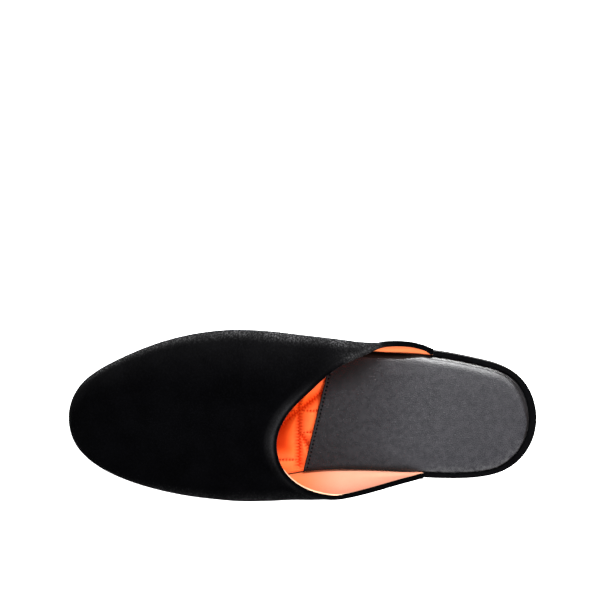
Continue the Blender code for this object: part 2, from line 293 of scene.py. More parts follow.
def lengths(points: Array) -> Array:
    """Distance from the first point to each point, along the line."""
    return np.concatenate([[0.0], np.cumsum(np.linalg.norm(np.diff(points, axis=0), axis=1))])


def at_length(points: Array, places: Array) -> Array:
    """Points at the given distances along a line."""
    run = lengths(points)
    return np.column_stack([np.interp(places, run, points[:, k]) for k in range(points.shape[1])])


def unit(vectors: Array) -> Array:
    """The vectors at length 1."""
    return vectors / np.maximum(np.linalg.norm(vectors, axis=-1, keepdims=True), 1e-12)


def half_round(first: Array, second: Array, reach: Array, count: int) -> Array:
    """Half rounds over an edge.

    Args:
        first: Where each half round starts.
        second: Where it ends.
        reach: How far and which way it stands out.
        count: How many points it has between its ends.

    Returns:
        A row of points for each half round.
    """
    angles = np.linspace(0.0, np.pi, count + 2)[1:-1][None, :, None]
    middle, half = 0.5 * (first + second)[:, None], 0.5 * (first - second)[:, None]
    return middle + half * np.cos(angles) + reach[:, None] * np.sin(angles)


def off_lines(points: Array, lines: Array) -> tuple[Array, Array, Array]:
    """How points lie to the nearest of a set of straight lines.

    Args:
        points: Places as rows of along and across.
        lines: Rows of along and across of both ends.

    Returns:
        The distance, the run along that line, and the side (-1 or 1) on which each point lies.
    """
    best = np.full(len(points), np.inf)
    run, hand = np.zeros(len(points)), np.ones(len(points))
    for along, across, along_end, across_end in lines:
        start = np.array([along, across])
        whole = np.array([along_end, across_end]) - start
        size = np.linalg.norm(whole)
        way = whole / size
        place = np.clip((points - start) @ way, 0.0, size)
        offset = points - start - place[:, None] * way
        distance = np.linalg.norm(offset, axis=1)
        nearer = distance < best
        best[nearer] = distance[nearer]
        run[nearer] = place[nearer]
        hand[nearer] = np.sign(way[0] * offset[nearer, 1] - way[1] * offset[nearer, 0])
    return best, run, hand


@dataclass
class Last:
    """The form that the shoe is built on, with the sizes of the pieces that lie against each other.

    Its formulas are those of the solids, so a piece made from it lies where its solid does. The lateral
    outline, the rand and the heel end are trimmed by little more than a millimetre.
    """

    gap: float = 0.3
    heel_height: float = 12.0
    outsole: float = 4.5
    toe_spring: float = 9.0
    spring_stop: float = 1.2
    seat_front: float = 62.0
    tread_back: float = 163.0
    tread_front: float = 196.0
    wall: float = 2.4
    feather_inset: float = 0.6
    insole: float = 3.0
    sock: float = 2.0
    sock_front: float = 135.5
    sock_slant: float = 0.24
    rand: float = 3.3
    rand_back: float = 1.2
    rand_fade: float = 8.0
    heel_out: float = 0.5
    heel_reach: float = 28.0
    fullness: float = 2.0
    girth: float = 160.0
    fan_power: float = 1.6
    toe_care: float = 70.0
    fan_start: dict[Side, float] = field(default_factory=lambda: {Side.LATERAL: 0.35, Side.MEDIAL: 0.6})
    rand_reach: dict[Side, float] = field(default_factory=lambda: {Side.LATERAL: 12.0, Side.MEDIAL: 28.0})

    def __post_init__(self) -> None:
        """Makes the curves of the tables."""
        self.sole_curves = {
            name: self.table_curve(SOLE_OUTLINE, name, SOLE_LENGTH) for name in SoleRow._fields[1:]
        }
        self.last_curves = {name: self.table_curve(LAST, name, LENGTH) for name in LastRow._fields[1:]}
        self.middle = 0.5 * (max(row.lateral for row in LAST) - max(row.medial for row in LAST))

    @staticmethod
    def turn(along: Array | float, length: float) -> Array:
        """The angle from 0 at the heel to pi at the toe, in which rounded ends become straight lines."""
        return np.arccos(np.clip(1.0 - 2.0 * np.asarray(along, float) / length, -1.0, 1.0))

    @staticmethod
    def along_at(angle: Array | float, length: float) -> Array:
        """The place along the shoe that turn() gave this angle."""
        return 0.5 * length * (1.0 - np.cos(angle))

    def table_curve(self, table: Sequence[NamedTuple], column: str, length: float) -> Curve:
        """A column of a table as a smooth function of the turn angle."""
        angles = [float(self.turn(row.along, length)) for row in table]
        return smooth_curve(angles, [getattr(row, column) for row in table])

    def to_frame(self, points: Array) -> Array:
        """Points of the shoe in the frame of the solids, in metres, with the heel end drawn out a little."""
        drawn = points - np.array([0.5 * LENGTH, -self.middle, 0.0])
        drawn[:, 0] -= self.heel_out * np.clip(1.0 - points[:, 0] / self.heel_reach, 0.0, 1.0) ** 2
        return drawn * MM

    def sole_bottom(self, along: Array) -> Array:
        """Height of the underside: level heel seat, arch, flat tread and toe spring."""
        rise = (self.tread_back - along) / (self.tread_back - self.seat_front)
        spring = np.clip((along - self.tread_front) / (SOLE_LENGTH - self.tread_front), 0.0, self.spring_stop)
        return self.heel_height * ease(rise) + self.toe_spring * spring**2

    def sole_top(self, along: Array) -> Array:
        """Height of the sole's upper face."""
        return self.sole_bottom(along) + self.outsole

    def insole_top(self, along: Array) -> Array:
        """Height of the footbed."""
        return self.sole_top(along) + self.gap + self.insole

    def sock_top(self, along: Array) -> Array:
        """Height of the sock's upper face."""
        return self.insole_top(along) + self.gap + self.sock

    def sock_edge(self, across: Array) -> Array:
        """Where along the shoe the slanted front edge of the sock lies."""
        return self.sock_front + self.sock_slant * across

    def past_sock(self, flat: Array) -> Array:
        """How far places lie in front of the sock's front edge, under 0 on the sock."""
        return (flat[:, :, 0] - self.sock_edge(flat[:, :, 1])) / math.hypot(1.0, self.sock_slant)

    def sole_side(self, angles: Array, side: Side, inset: Array | float) -> Array:
        """One side of the sole's outline.

        Args:
            angles: Turn angles of the points.
            side: Which side.
            inset: How far the points move in along the outline's normals.

        Returns:
            Rows of along and across.
        """
        half = self.sole_curves[side.column]

        def place(angle: Array) -> Array:
            """Points of the outline itself."""
            return np.column_stack([self.along_at(angle, SOLE_LENGTH), side.value * half(angle)])

        angles = np.atleast_1d(angles)
        reach = 0.002
        tangent = unit(place(np.minimum(angles + reach, np.pi)) - place(np.maximum(angles - reach, 0.0)))
        outward = side.value * np.column_stack([-tangent[:, 1], tangent[:, 0]])
        points = place(angles) - np.reshape(inset, (-1, 1)) * outward
        points[(angles <= 0.0) | (angles >= np.pi), 1] = 0.0
        return points

    def rand_width(self, angles: Array, side: Side) -> Array:
        """Width of the rand, which grows round the back of the heel, sooner on the medial side."""
        share = ease(self.along_at(angles, SOLE_LENGTH) / self.rand_reach[side])
        return self.rand + self.rand_back * (1.0 - share)

    def lining_inset(self, angles: Array, side: Side) -> Array:
        """How far inside the sole's edge the footbed ends: behind the rand, further on behind the upper."""
        start = COLLAR[0 if side is Side.LATERAL else -1].along
        share = ease((self.along_at(angles, SOLE_LENGTH) - start) / self.rand_fade)
        rand = self.rand_width(angles, side)
        return self.feather_inset + rand + (self.wall - rand) * share + self.gap

    def lining_side(self, angles: Array, side: Side, inset: float = 0.0) -> Array:
        """One side of the room between the linings, further in by an inset."""
        return self.sole_side(angles, side, self.lining_inset(angles, side) + inset)

    def measures(self, angle: Array | float) -> dict[str, Array]:
        """The last's measures at a turn angle, by column name."""
        return {name: curve(angle) for name, curve in self.last_curves.items()}

    def dome_height(self, along: Array, across: Array) -> Array:
        """Height of the upper above its widest line."""
        last = self.measures(self.turn(along, LENGTH))
        outer = across < last["ridge"]
        reach = np.where(outer, last["ridge"] + last["lateral"], last["medial"] - last["ridge"])
        foot = np.where(outer, last["lateral_height"], last["medial_height"])
        share = np.clip(np.abs(across - last["ridge"]) / np.maximum(reach, 1e-6), 0.0, 1.0)
        return foot + (last["ridge_height"] - foot) * (1.0 - share**self.fullness) ** (1.0 / self.fullness)

    def side_wall(self, angle: float, side: Side, shares: Array) -> Array:
        """Points up the side of the upper, from the sole to its widest line, which it meets upright."""
        low = self.sole_side(angle, side, self.feather_inset)[0]
        last = self.measures(angle)
        wide = np.array([self.along_at(angle, LENGTH), side.value * last[side.column]])
        out = (1.0 - (1.0 - shares) ** 2)[:, None]
        base = self.sole_top(low[0]) + self.gap
        heights = base + (last[side.column + "_height"] - base) * shares
        return np.column_stack([low + (wide - low) * out, heights])

    def dome_line(self, start: Array, end: Array, shares: Array) -> Array:
        """Points over the top of the upper, straight in plan from start to end."""
        flat = start[None, :2] + (end[:2] - start[:2])[None, :] * shares[:, None]
        return np.column_stack([flat, self.dome_height(flat[:, 0], flat[:, 1])])

    def collar_point(self, along: float, share: float) -> tuple[Array, float]:
        """A point at a share of the way round the last, and how far up the side wall it lies."""
        angle = self.turn(along, LENGTH)
        walls = {side: self.side_wall(angle, side, np.linspace(0.0, 1.0, 25)) for side in Side}
        ridge = np.array([along, self.measures(angle)["ridge"]])
        easing = np.linspace(0.0, 1.0, 61) ** 2
        domes = {side: self.dome_line(wall[-1], ridge, easing) for side, wall in walls.items()}
        rising = np.vstack([walls[Side.LATERAL], domes[Side.LATERAL][1:]])
        falling = np.vstack([domes[Side.MEDIAL][-2::-1], walls[Side.MEDIAL][-2::-1]])
        whole = np.vstack([rising, falling])
        total = lengths(whole)[-1]
        near = Side.LATERAL if share < 0.5 else Side.MEDIAL
        reach = total * min(share, 1.0 - share)
        return at_length(whole, [share * total])[0], reach / lengths(walls[near])[-1]

    def collar_line(self, count: int) -> Array:
        """The collar as rows of along and share, evenly spaced from its lateral to its medial end."""
        rows = np.array(COLLAR, float)
        knots = lengths(np.column_stack([rows[:, 0], rows[:, 1] * self.girth]))
        curves = [smooth_curve(knots, rows[:, k]) for k in range(2)]
        places = np.linspace(0.0, knots[-1], count)
        return np.column_stack([curve(places) for curve in curves])

    def upper_path(self, row: Array, side: Side, progress: float) -> Array:
        """The line from the sole up to one point of the collar.

        Args:
            row: Along and share of the collar point.
            side: The side on which the line starts.
            progress: 0 at the collar's end and 1 at its throat; fans the feet of the lines out round the toe.

        Returns:
            The line's points.
        """
        top, share = self.collar_point(*row)
        angle = self.turn(row[0], LENGTH)
        if share <= 1.0:
            wall = self.side_wall(angle, side, np.linspace(0.0, 1.0, 81))
            return at_length(wall, np.linspace(0.0, share * lengths(wall)[-1], 81))
        start = self.fan_start[side]
        fan = max(0.0, (progress - start) / (1.0 - start)) ** self.fan_power
        foot = angle + (np.pi - angle) * fan
        wall = self.side_wall(foot, side, np.linspace(0.0, 1.0, 61))
        return np.vstack([wall, self.dome_line(wall[-1], top, np.linspace(0.0, 1.0, 241)[1:] ** 2)])

    def upper_paths(self, steps: int) -> list[Array]:
        """Lines from the sole to the collar, spread evenly round the upper.

        Args:
            steps: How many cells lie between the two ends of the collar.

        Returns:
            One line a row, from the lateral end to the medial end.
        """
        dense = 5 * steps
        rows = self.collar_line(dense)
        throat = int(np.argmax(rows[:, 0]))
        final = dense - 1
        paths = [self.upper_path(rows[k], Side.LATERAL, k / throat) for k in range(throat + 1)]
        for k in range(throat + 1, dense):
            paths.append(self.upper_path(rows[k], Side.MEDIAL, (final - k) / (final - throat)))
        feet, tops = (np.array([path[end] for path in paths]) for end in (0, -1))
        turns = self.turn(feet[:, 0], SOLE_LENGTH)
        bends = np.abs(np.diff(turns, prepend=turns[0]))
        spread = lengths(feet) + lengths(tops) + self.toe_care * np.cumsum(bends)
        places = np.linspace(0.0, spread[-1], steps + 1)
        picks = np.unique([int(np.argmin(np.abs(spread - place))) for place in places])
        return [paths[k] for k in picks]


def into_scene(name: str, data: bpy.types.ID) -> Piece:
    """Puts new data into the scene as an object."""
    thing = bpy.data.objects.new(name, data)
    bpy.context.scene.collection.objects.link(thing)
    return thing


@dataclass
class RingMesh:
    """A closed piece made of rings: each row of points is one ring, and the ends are closed across.

    Ring point j lies opposite ring point -1 - j, which is how an end is closed.
    """

    name: str
    rings: Array
    finishes: Sequence[Material]
    finish_of: Array | None = None
    marks: dict[str, Array] = field(default_factory=dict)
    sharp_deg: float = 60.0

    def faces(self) -> tuple[list[list[int]], list[int]]:
        """Corner numbers of the faces, and the number of each face's finish."""
        rows, count = self.rings.shape[:2]
        numbers = np.arange(rows * count).reshape(rows, count)
        around = np.roll(numbers, -1, axis=1)
        quads = np.stack([numbers[:-1], around[:-1], around[1:], numbers[1:]], axis=-1).reshape(-1, 4)
        kinds = np.broadcast_to(0 if self.finish_of is None else self.finish_of, (rows - 1, count))
        finishes = kinds.ravel().tolist()
        faces = quads.tolist()
        for end in (0, -1):
            if self.folded(self.rings[end]):
                continue
            row = numbers[end].tolist()
            for j in range(count // 2):
                corners = list(dict.fromkeys((row[j], row[j + 1], row[-2 - j], row[-1 - j])))
                if len(corners) > 2:
                    faces.append(corners)
                    finishes.append(int(kinds[end, j]))
        return faces, finishes

    @staticmethod
    def folded(ring: Array) -> bool:
        """Whether an end ring is folded flat, so that its halves meet and nothing is left to close."""
        area = 0.5 * np.cross(ring, np.roll(ring, -1, axis=0)).sum(axis=0)
        return bool(np.linalg.norm(area) < FLAT_RING)

    def make(self, last: Last) -> Piece:
        """Builds the mesh.

        Args:
            last: The form whose frame the rings are in.

        Returns:
            The piece, at the origin of the solids' frame.
        """
        mesh = bpy.data.meshes.new(self.name)
        faces, finishes = self.faces()
        mesh.from_pydata(last.to_frame(self.rings.reshape(-1, 3)).tolist(), [], faces)
        mesh.polygons.foreach_set("material_index", finishes)
        for name, values in self.marks.items():
            layer = mesh.attributes.new(name, "FLOAT", "POINT")
            layer.data.foreach_set("value", np.ascontiguousarray(values, np.float32).ravel())
        for finish in self.finishes:
            mesh.materials.append(finish)
        soup = bmesh.new()
        soup.from_mesh(mesh)
        bmesh.ops.remove_doubles(soup, verts=soup.verts, dist=MERGE)
        bmesh.ops.dissolve_degenerate(soup, edges=soup.edges, dist=MERGE)
        bmesh.ops.recalc_face_normals(soup, faces=soup.faces)
        soup.to_mesh(mesh)
        soup.free()
        mesh.shade_smooth()
        mesh.set_sharp_from_angle(angle=math.radians(self.sharp_deg))
        return into_scene(self.name, mesh)


@dataclass(frozen=True)
class Quilt:
    """The quilting of the satin: a tile of sewn lines that repeats, every other column moved half a tile."""

    node_along: float = 146.0
    node_across: float = -3.65
    tile_along: float = 38.0
    tile_across: float = 61.4
    columns: range = range(-2, 6)
    rows: range = range(-3, 4)
    rise: float = 1.5
    slope: float = 3.4
    fullness: float = 1.3
    pucker: float = 0.33
    pucker_reach: float = 1.6
    pucker_start: float = 0.4
    pitch: float = 2.0
    row_depth: float = 0.30
    row_slope: float = 2.2
    dot_depth: float = 1.10
    dot_reach: float = 0.72
    low: tuple[float, float] = (100.0, -60.0)
    high: tuple[float, float] = (300.0, 60.0)
    stitch_length: float = 1.05
    stitch_width: float = 0.5

    def lines(self, *seams: Seam) -> Array:
        """The lines near the footbed that are sewn in these ways: along and across of both ends."""
        found = []
        for column in self.columns:
            shift = 0.5 * self.tile_across * (column % 2)
            for row in self.rows:
                base = np.array([column * self.tile_along, row * self.tile_across + shift] * 2)
                base += np.array([self.node_along, self.node_across] * 2)
                found += [base + np.array(line[:4]) for line in QUILT_MOTIF if line.seam in seams]
        lines = np.array(found)
        middle = 0.5 * (lines[:, :2] + lines[:, 2:])
        near = np.all((middle > self.low) & (middle < self.high), axis=1)
        return lines[near]

    def seam_points(self, span: SewnSpan) -> list[Array]:
        """Rows of along and across on each sewn line that has at least three points in the span."""
        runs = []
        for line in self.lines(*Seam):
            ends = line.reshape(2, 2)
            points = at_length(ends, np.arange(0.0, lengths(ends)[-1], span.step))
            points = points[(points[:, 0] > span.back) & (points[:, 0] < span.front)]
            if len(points) > 2:
                runs.append(points)
        return runs

    def relief(self, along: Array, across: Array) -> Array:
        """Height of the padding over the sewn lines.

        Args:
            along: Places along the shoe.
            across: Places across it.

        Returns:
            Heights from about 0 in a seam to the full rise between seams, with puckers beside the seams.
        """
        points = np.column_stack([np.ravel(along), np.ravel(across)])
        distance, run, hand = off_lines(points, self.lines(Seam.ZIGZAG))
        pillow = self.rise * (1.0 - np.exp(-((distance / self.slope) ** self.fullness)))
        wave = np.cos(2.0 * np.pi * run / self.pitch + 0.5 * np.pi * hand)
        beside_seam = bell(distance, self.pucker_reach) * np.tanh(distance / self.pucker_start)
        fold = self.pucker * wave * beside_seam
        beside, place, _ = off_lines(points, self.lines(Seam.ROW))
        row = self.rise * (1.0 - self.row_depth * bell(beside, self.row_slope))
        dots = (0.5 + 0.5 * np.cos(2.0 * np.pi * place / self.pitch)) * bell(beside, self.dot_reach)
        return np.minimum(pillow + fold, row - self.dot_depth * dots).reshape(np.shape(along))


class NodeSheet:
    """Adds nodes to a tree, each with its settings, values and links in one call."""

    def __init__(self, tree: NodeTree) -> None:
        """Takes the tree that the nodes go into."""
        self.tree = tree

    @staticmethod
    def socket(sockets: Sequence[Socket], key: str) -> Socket:
        """The socket with this identifier, or else with this name."""
        named = {socket.name: socket for socket in sockets}
        return {**named, **{socket.identifier: socket for socket in sockets}}[key]

    def put(self, kind: str, inputs: dict[str, object] | None = None, **settings: object) -> Node:
        """Adds a node.

        Args:
            kind: Blender's name of the node.
            inputs: A value, or a socket to link, for each input by its identifier or name.
            **settings: The node's own settings.

        Returns:
            The node.
        """
        node = self.tree.nodes.new(kind)
        for name, value in settings.items():
            setattr(node, name, value)
        self.feed(node, inputs or {})
        return node

    def feed(self, node: Node, inputs: dict[str, object]) -> None:
        """Gives a node's inputs, by identifier or name, a value, a colour or a socket to link."""
        for name, value in inputs.items():
            target = self.socket(node.inputs, name)
            if isinstance(value, Socket):
                self.tree.links.new(value, target)
            else:
                target.default_value = (*value, 1.0) if target.type == "RGBA" else value

    def math(self, operation: str, first: object, second: object, clamp: bool = False) -> Socket:
        """The result of a sum on two values or sockets."""
        inputs = {"Value": first, "Value_001": second}
        return self.put("ShaderNodeMath", inputs, operation=operation, use_clamp=clamp).outputs[0]

    def vector(self, operation: str, first: object, second: object) -> Socket:
        """The result of a sum on two vectors."""
        inputs = {"Vector": first, "Vector_001": second}
        return self.put("ShaderNodeVectorMath", inputs, operation=operation).outputs[0]

    def weigh(
        self, first: object, share: float, second: object, other: float, clamp: bool = False
    ) -> Socket:
        """Two values added together, each times its own share."""
        parts = self.math("MULTIPLY", first, share), self.math("MULTIPLY", second, other)
        return self.math("ADD", *parts, clamp=clamp)

    def noise(self, place: object, scale: object, detail: float = 2.0, rough: float = 0.55) -> Socket:
        """A noise value, about 0.5 on average."""
        inputs = {"Vector": place, "Scale": scale, "Detail": detail, "Roughness": rough}
        return self.put("ShaderNodeTexNoise", inputs).outputs[0]

    def spread(self, value: object, low: float, high: float) -> Socket:
        """A value stretched so that low becomes 0 and high 1."""
        inputs = {"Value": value, "From Min": low, "From Max": high}
        return self.put("ShaderNodeMapRange", inputs, interpolation_type="SMOOTHSTEP").outputs[0]

    def between(self, share: object, low: float, high: float) -> Socket:
        """A value that goes from low to high as the share goes from 0 to 1."""
        inputs = {"Value": share, "To Min": low, "To Max": high}
        return self.put("ShaderNodeMapRange", inputs).outputs[0]

    def blend(self, share: object, first: object, second: object) -> Socket:
        """A colour between two others."""
        inputs = {"Factor_Float": share, "A_Color": first, "B_Color": second}
        node = self.put("ShaderNodeMix", inputs, data_type="RGBA")
        return self.socket(node.outputs, "Result_Color")

    def bump(self, height: object, depth_mm: float) -> Socket:
        """A normal bent by a height from 0 to 1 that stands for this many millimetres."""
        inputs = {"Height": height, "Distance": depth_mm * MM, "Strength": 1.0}
        return self.put("ShaderNodeBump", inputs).outputs[0]


class Effects:
    """Surface effects that several finishes share, each a node group."""

    def __init__(self) -> None:
        """Builds the groups."""
        self.nap = self.build_nap()
        self.grain = self.build_grain()
        self.weave = self.build_weave()
        self.rub = self.build_rub()

    @staticmethod
    def start(name: str, *values: str) -> tuple[NodeSheet, Sequence[Socket]]:
        """Starts a group that reads a place and these values, and gives its sheet and their sockets."""
        tree = bpy.data.node_groups.new(name, "ShaderNodeTree")
        tree.interface.new_socket("Place", in_out="INPUT", socket_type="NodeSocketVector")
        for value in values:
            tree.interface.new_socket(value, in_out="INPUT", socket_type="NodeSocketFloat")
        sheet = NodeSheet(tree)
        return sheet, sheet.put("NodeGroupInput").outputs[: len(values) + 1]

    @staticmethod
    def finish(sheet: NodeSheet, **results: Socket) -> NodeTree:
        """Gives a group its results by name, and returns it."""
        for name in results:
            sheet.tree.interface.new_socket(name, in_out="OUTPUT", socket_type="NodeSocketFloat")
        sheet.put("NodeGroupOutput", results)
        return sheet.tree

    def build_nap(self) -> NodeTree:
        """Short pile: patches of brushing, clumps of fibres and the fibres themselves."""
        sheet, (place, patch, clump, fibre) = self.start("Nap", "Patch", "Clump", "Fibre")
        combed = sheet.vector("MULTIPLY", place, (1.0, 1.0, 0.3))
        patches = sheet.noise(place, patch, 3.0, 0.5)
        clumps = sheet.noise(combed, clump, 3.0, 0.65)
        fibres = sheet.noise(combed, fibre, 2.0, 0.6)
        brushing_and_glints, speckle = sheet.spread(patches, 0.3, 0.7), sheet.spread(clumps, 0.42, 0.72)
        strands = sheet.between(sheet.spread(fibres, 0.35, 0.6), 0.4, 1.0)
        tips = sheet.math("MULTIPLY", sheet.spread(clumps, 0.45, 0.67), strands)
        uneven = sheet.between(sheet.spread(patches, 0.35, 0.6), 0.35, 1.0)
        return self.finish(
            sheet,
            Shade=sheet.weigh(brushing_and_glints, 0.3, speckle, 0.55, clamp=True),
            Height=sheet.weigh(fibres, 0.5, clumps, 0.5),
            Tips=sheet.math("MULTIPLY", tips, uneven),
        )

    def build_grain(self) -> NodeTree:
        """Leather: small pebbles with creases between them, and a slow mottle."""
        sheet, (place, pebble, mottle) = self.start("Grain", "Pebble", "Mottle")
        drift = sheet.put("ShaderNodeTexNoise", {"Vector": place, "Scale": pebble, "Detail": 2.0})
        drawn = sheet.vector("MULTIPLY", drift.outputs["Color"], (0.0006, 0.0006, 0.0006))
        moved = {"Vector": sheet.vector("ADD", place, drawn), "Scale": pebble}
        cells = sheet.put("ShaderNodeTexVoronoi", moved, feature="DISTANCE_TO_EDGE")
        dome = sheet.spread(cells.outputs["Distance"], 0.0, 0.22)
        fine = sheet.noise(place, sheet.math("MULTIPLY", pebble, 3.1), 2.0, 0.6)
        return self.finish(
            sheet,
            Height=sheet.weigh(dome, 0.7, fine, 0.3),
            Crease=sheet.math("SUBTRACT", 1.0, dome),
            Tone=sheet.spread(sheet.noise(place, mottle, 4.0, 0.6), 0.25, 0.75),
        )

    def build_weave(self) -> NodeTree:
        """Satin: fine floating threads, uneven from place to place."""
        sheet, (place, thread, slub) = self.start("Weave", "Thread", "Slub")
        inputs = {"Vector": place, "Scale": thread, "Distortion": 1.2, "Detail": 1.0, "Detail Scale": 0.4}
        warp, weft = (
            sheet.put("ShaderNodeTexWave", inputs, bands_direction=way).outputs["Fac"] for way in "YX"
        )
        return self.finish(
            sheet,
            Height=sheet.weigh(warp, 0.75, weft, 0.25),
            Tone=sheet.spread(sheet.noise(place, slub, 4.0, 0.6), 0.25, 0.75),
        )

    def build_rub(self) -> NodeTree:
        """Wear, and on the sock painted sheen, that breaks up along marked edges."""
        sheet, (place, edge, size) = self.start("Rub", "Edge", "Size")
        broken = sheet.spread(sheet.noise(place, size, 4.0, 0.65), 0.35, 0.7)
        return self.finish(sheet, Mask=sheet.math("MULTIPLY", edge, broken, clamp=True))


@dataclass
class MaterialSheet:
    """A new material with its shader, and the place on the surface that its patterns read."""

    name: str

    def __post_init__(self) -> None:
        """Makes the material."""
        self.material = bpy.data.materials.new(self.name)
        self.material.use_nodes = True
        self.sheet = NodeSheet(self.material.node_tree)
        self.shader = self.material.node_tree.nodes["Principled BSDF"]
        self.place = self.sheet.put("ShaderNodeTexCoord").outputs["Object"]

    def group(self, tree: NodeTree, **values: object) -> dict[str, Socket]:
        """Places an effect.

        Args:
            tree: The effect's node group.
            **values: Values or sockets for its inputs, by name.

        Returns:
            The effect's outputs by name.
        """
        node = self.sheet.put("ShaderNodeGroup", {"Place": self.place, **values}, node_tree=tree)
        return {socket.name: socket for socket in node.outputs}

    def mark(self, name: str) -> Socket:
        """A value from 0 to 1 that the piece's own mesh holds."""
        return self.sheet.put("ShaderNodeAttribute", attribute_name=name).outputs["Fac"]

    def dress(self, **inputs: object) -> Material:
        """Feeds the shader, its sockets named with underscores for spaces, and returns the material."""
        self.sheet.feed(self.shader, {name.replace("_", " "): value for name, value in inputs.items()})
        return self.material


@dataclass(frozen=True)
class Velvet:
    """Black velvet with a short pile; its colour also holds painted sheen where the piece's marks ask for it.
    """

    dark: Colour = (0.0002, 0.0002, 0.0003)
    light: Colour = (0.0010, 0.0010, 0.0013)
    # the next colours are painted sheen: a soft lighter band beside the turned edge and along the lit flank,
    # and the grey of lit pile tips
    halo_sheen: Colour = (0.023, 0.023, 0.0245)
    halo_least: float = 0.35
    tip_sheen: Colour = (0.200, 0.200, 0.206)
    tip_least: float = 0.06
    patch: float = 55.0
    clump: float = 1200.0
    fibre: float = 2600.0
    pile: float = 0.55
    roughness: tuple[float, float] = (1.0, 0.82)
    specular: float = 0.02
    sheen: float = 0.10
    sheen_roughness: float = 0.18
    sheen_tint: Colour = (0.80, 0.82, 0.88)

    def material(self, effects: Effects) -> Material:
        """Builds the finish."""
        made = MaterialSheet("black_velvet")
        sheet = made.sheet
        nap = made.group(effects.nap, Patch=self.patch, Clump=self.clump, Fibre=self.fibre)
        pile = sheet.blend(nap["Shade"], self.dark, self.light)
        # painted sheen: the rim mark lightens the pile into the lighter band, the other mark into grey lit
        # tips
        glow = sheet.math("MULTIPLY", made.mark("rim"), sheet.between(nap["Shade"], self.halo_least, 1.0))
        soft = sheet.blend(glow, pile, self.halo_sheen)
        tip_glints = sheet.math("MULTIPLY", made.mark("painted_glints"), sheet.between(nap["Tips"], self.tip_least, 1.0))
        return made.dress(
            Base_Color=sheet.blend(tip_glints, soft, self.tip_sheen),
            Roughness=sheet.between(nap["Shade"], *self.roughness),
            Specular_IOR_Level=self.specular,
            Sheen_Weight=self.sheen,
            Sheen_Roughness=self.sheen_roughness,
            Sheen_Tint=self.sheen_tint,
            Normal=sheet.bump(nap["Height"], self.pile),
        )


@dataclass(frozen=True)
class Satin:
    """Orange satin of the quilted parts, with painted shade in its valleys and under the vamp, and painted
    light where the throat lets light in.
    """

    colour: Colour = (0.68, 0.084, 0.0110)
    # deep: the satin's darker tone, also used for painted shade; pale: painted light
    deep: Colour = (0.38, 0.0115, 0.0003)
    pale: Colour = (0.67, 0.094, 0.0240)
    unevenness: float = 0.16
    roughness: tuple[float, float] = (0.36, 0.48)
    specular: float = 0.38
    specular_tint: Colour = (1.0, 0.50, 0.16)
    thread: float = 900.0
    slub: float = 240.0
    depth: float = 0.035

    def material(self, effects: Effects) -> Material:
        """Builds the finish."""
        made = MaterialSheet("orange_satin")
        sheet = made.sheet
        weave = made.group(effects.weave, Thread=self.thread, Slub=self.slub)
        # the pale mark paints light; the seam mark paints shade in the valleys and under the vamp
        base = sheet.blend(made.mark("pale"), self.colour, self.pale)
        base = sheet.blend(sheet.between(weave["Tone"], 0.0, self.unevenness), base, self.deep)
        return made.dress(
            Base_Color=sheet.blend(made.mark("seam"), base, self.deep),
            Roughness=sheet.between(weave["Tone"], *self.roughness),
            Specular_IOR_Level=self.specular,
            Specular_Tint=self.specular_tint,
            Normal=sheet.bump(weave["Height"], self.depth),
        )


@dataclass(frozen=True)
class Leather:
    """A leather: its colour, grain and gloss."""

    name: str
    colour: Colour
    second: Colour
    # colour of edge wear on the sole and heel, and of painted sheen on the sock
    wear_and_sheen: Colour
    roughness: float = 0.42
    pebble: float = 900.0
    depth: float = 0.03
    specular: float = 0.5
    mottle: float = 70.0
    rub_size: float = 420.0
    crease_gloss: float = 0.14
    # border colour: painted shade where the border mark asks, on the sock and on the linings toward the vamp
    border: Colour = (0.0, 0.0, 0.0)
    border_polish: float = 0.0

    def material(self, effects: Effects) -> Material:
        """Builds the finish."""
        made = MaterialSheet(self.name)
        sheet = made.sheet
        grain = made.group(effects.grain, Pebble=self.pebble, Mottle=self.mottle)
        # the border mark paints shade; the edge mark gives real wear on the sole and heel and painted sheen
        # on the sock
        rub = made.group(effects.rub, Edge=made.mark("edge"), Size=self.rub_size)
        border = made.mark("border")
        base = sheet.blend(grain["Tone"], self.colour, self.second)
        base = sheet.blend(border, base, self.border)
        gloss = sheet.between(grain["Crease"], self.roughness, self.roughness + self.crease_gloss)
        smoother = sheet.math("MULTIPLY", border, self.border_polish)
        return made.dress(
            Base_Color=sheet.blend(rub["Mask"], base, self.wear_and_sheen),
            Roughness=sheet.math("SUBTRACT", gloss, smoother, clamp=True),
            Specular_IOR_Level=self.specular,
            Normal=sheet.bump(grain["Height"], self.depth),
        )


@dataclass(frozen=True)
class Thread:
    """Sewing thread with a fine twist."""

    name: str
    colour: Colour
    shade: float = 0.55
    roughness: tuple[float, float] = (0.7, 0.9)
    specular: float = 0.04
    twist: float = 1500.0
    slub: float = 600.0
    depth: float = 0.05

    def material(self, effects: Effects) -> Material:
        """Builds the finish."""
        made = MaterialSheet(self.name)
        weave = made.group(effects.weave, Thread=self.twist, Slub=self.slub)
        darker = tuple(self.shade * value for value in self.colour)
        return made.dress(
            Base_Color=made.sheet.blend(weave["Tone"], self.colour, darker),
            Roughness=made.sheet.between(weave["Tone"], *self.roughness),
            Specular_IOR_Level=self.specular,
            Normal=made.sheet.bump(weave["Height"], self.depth),
        )


@dataclass(frozen=True)
class PaleFloor:
    """The plain floor of the studio."""

    colour: Colour = (0.93, 0.93, 0.93)
    faint: float = 0.985
    patch: float = 3.0
    roughness: float = 0.9
    specular: float = 0.1
    glow: float = 0.8

    def material(self) -> Material:
        """Builds the finish."""
        made = MaterialSheet("pale_floor")
        tone = made.sheet.noise(made.place, self.patch)
        faint = tuple(self.faint * value for value in self.colour)
        return made.dress(
            Base_Color=made.sheet.blend(tone, self.colour, faint),
            Roughness=self.roughness,
            Specular_IOR_Level=self.specular,
            Emission_Color=self.colour,
            Emission_Strength=self.glow,
        )


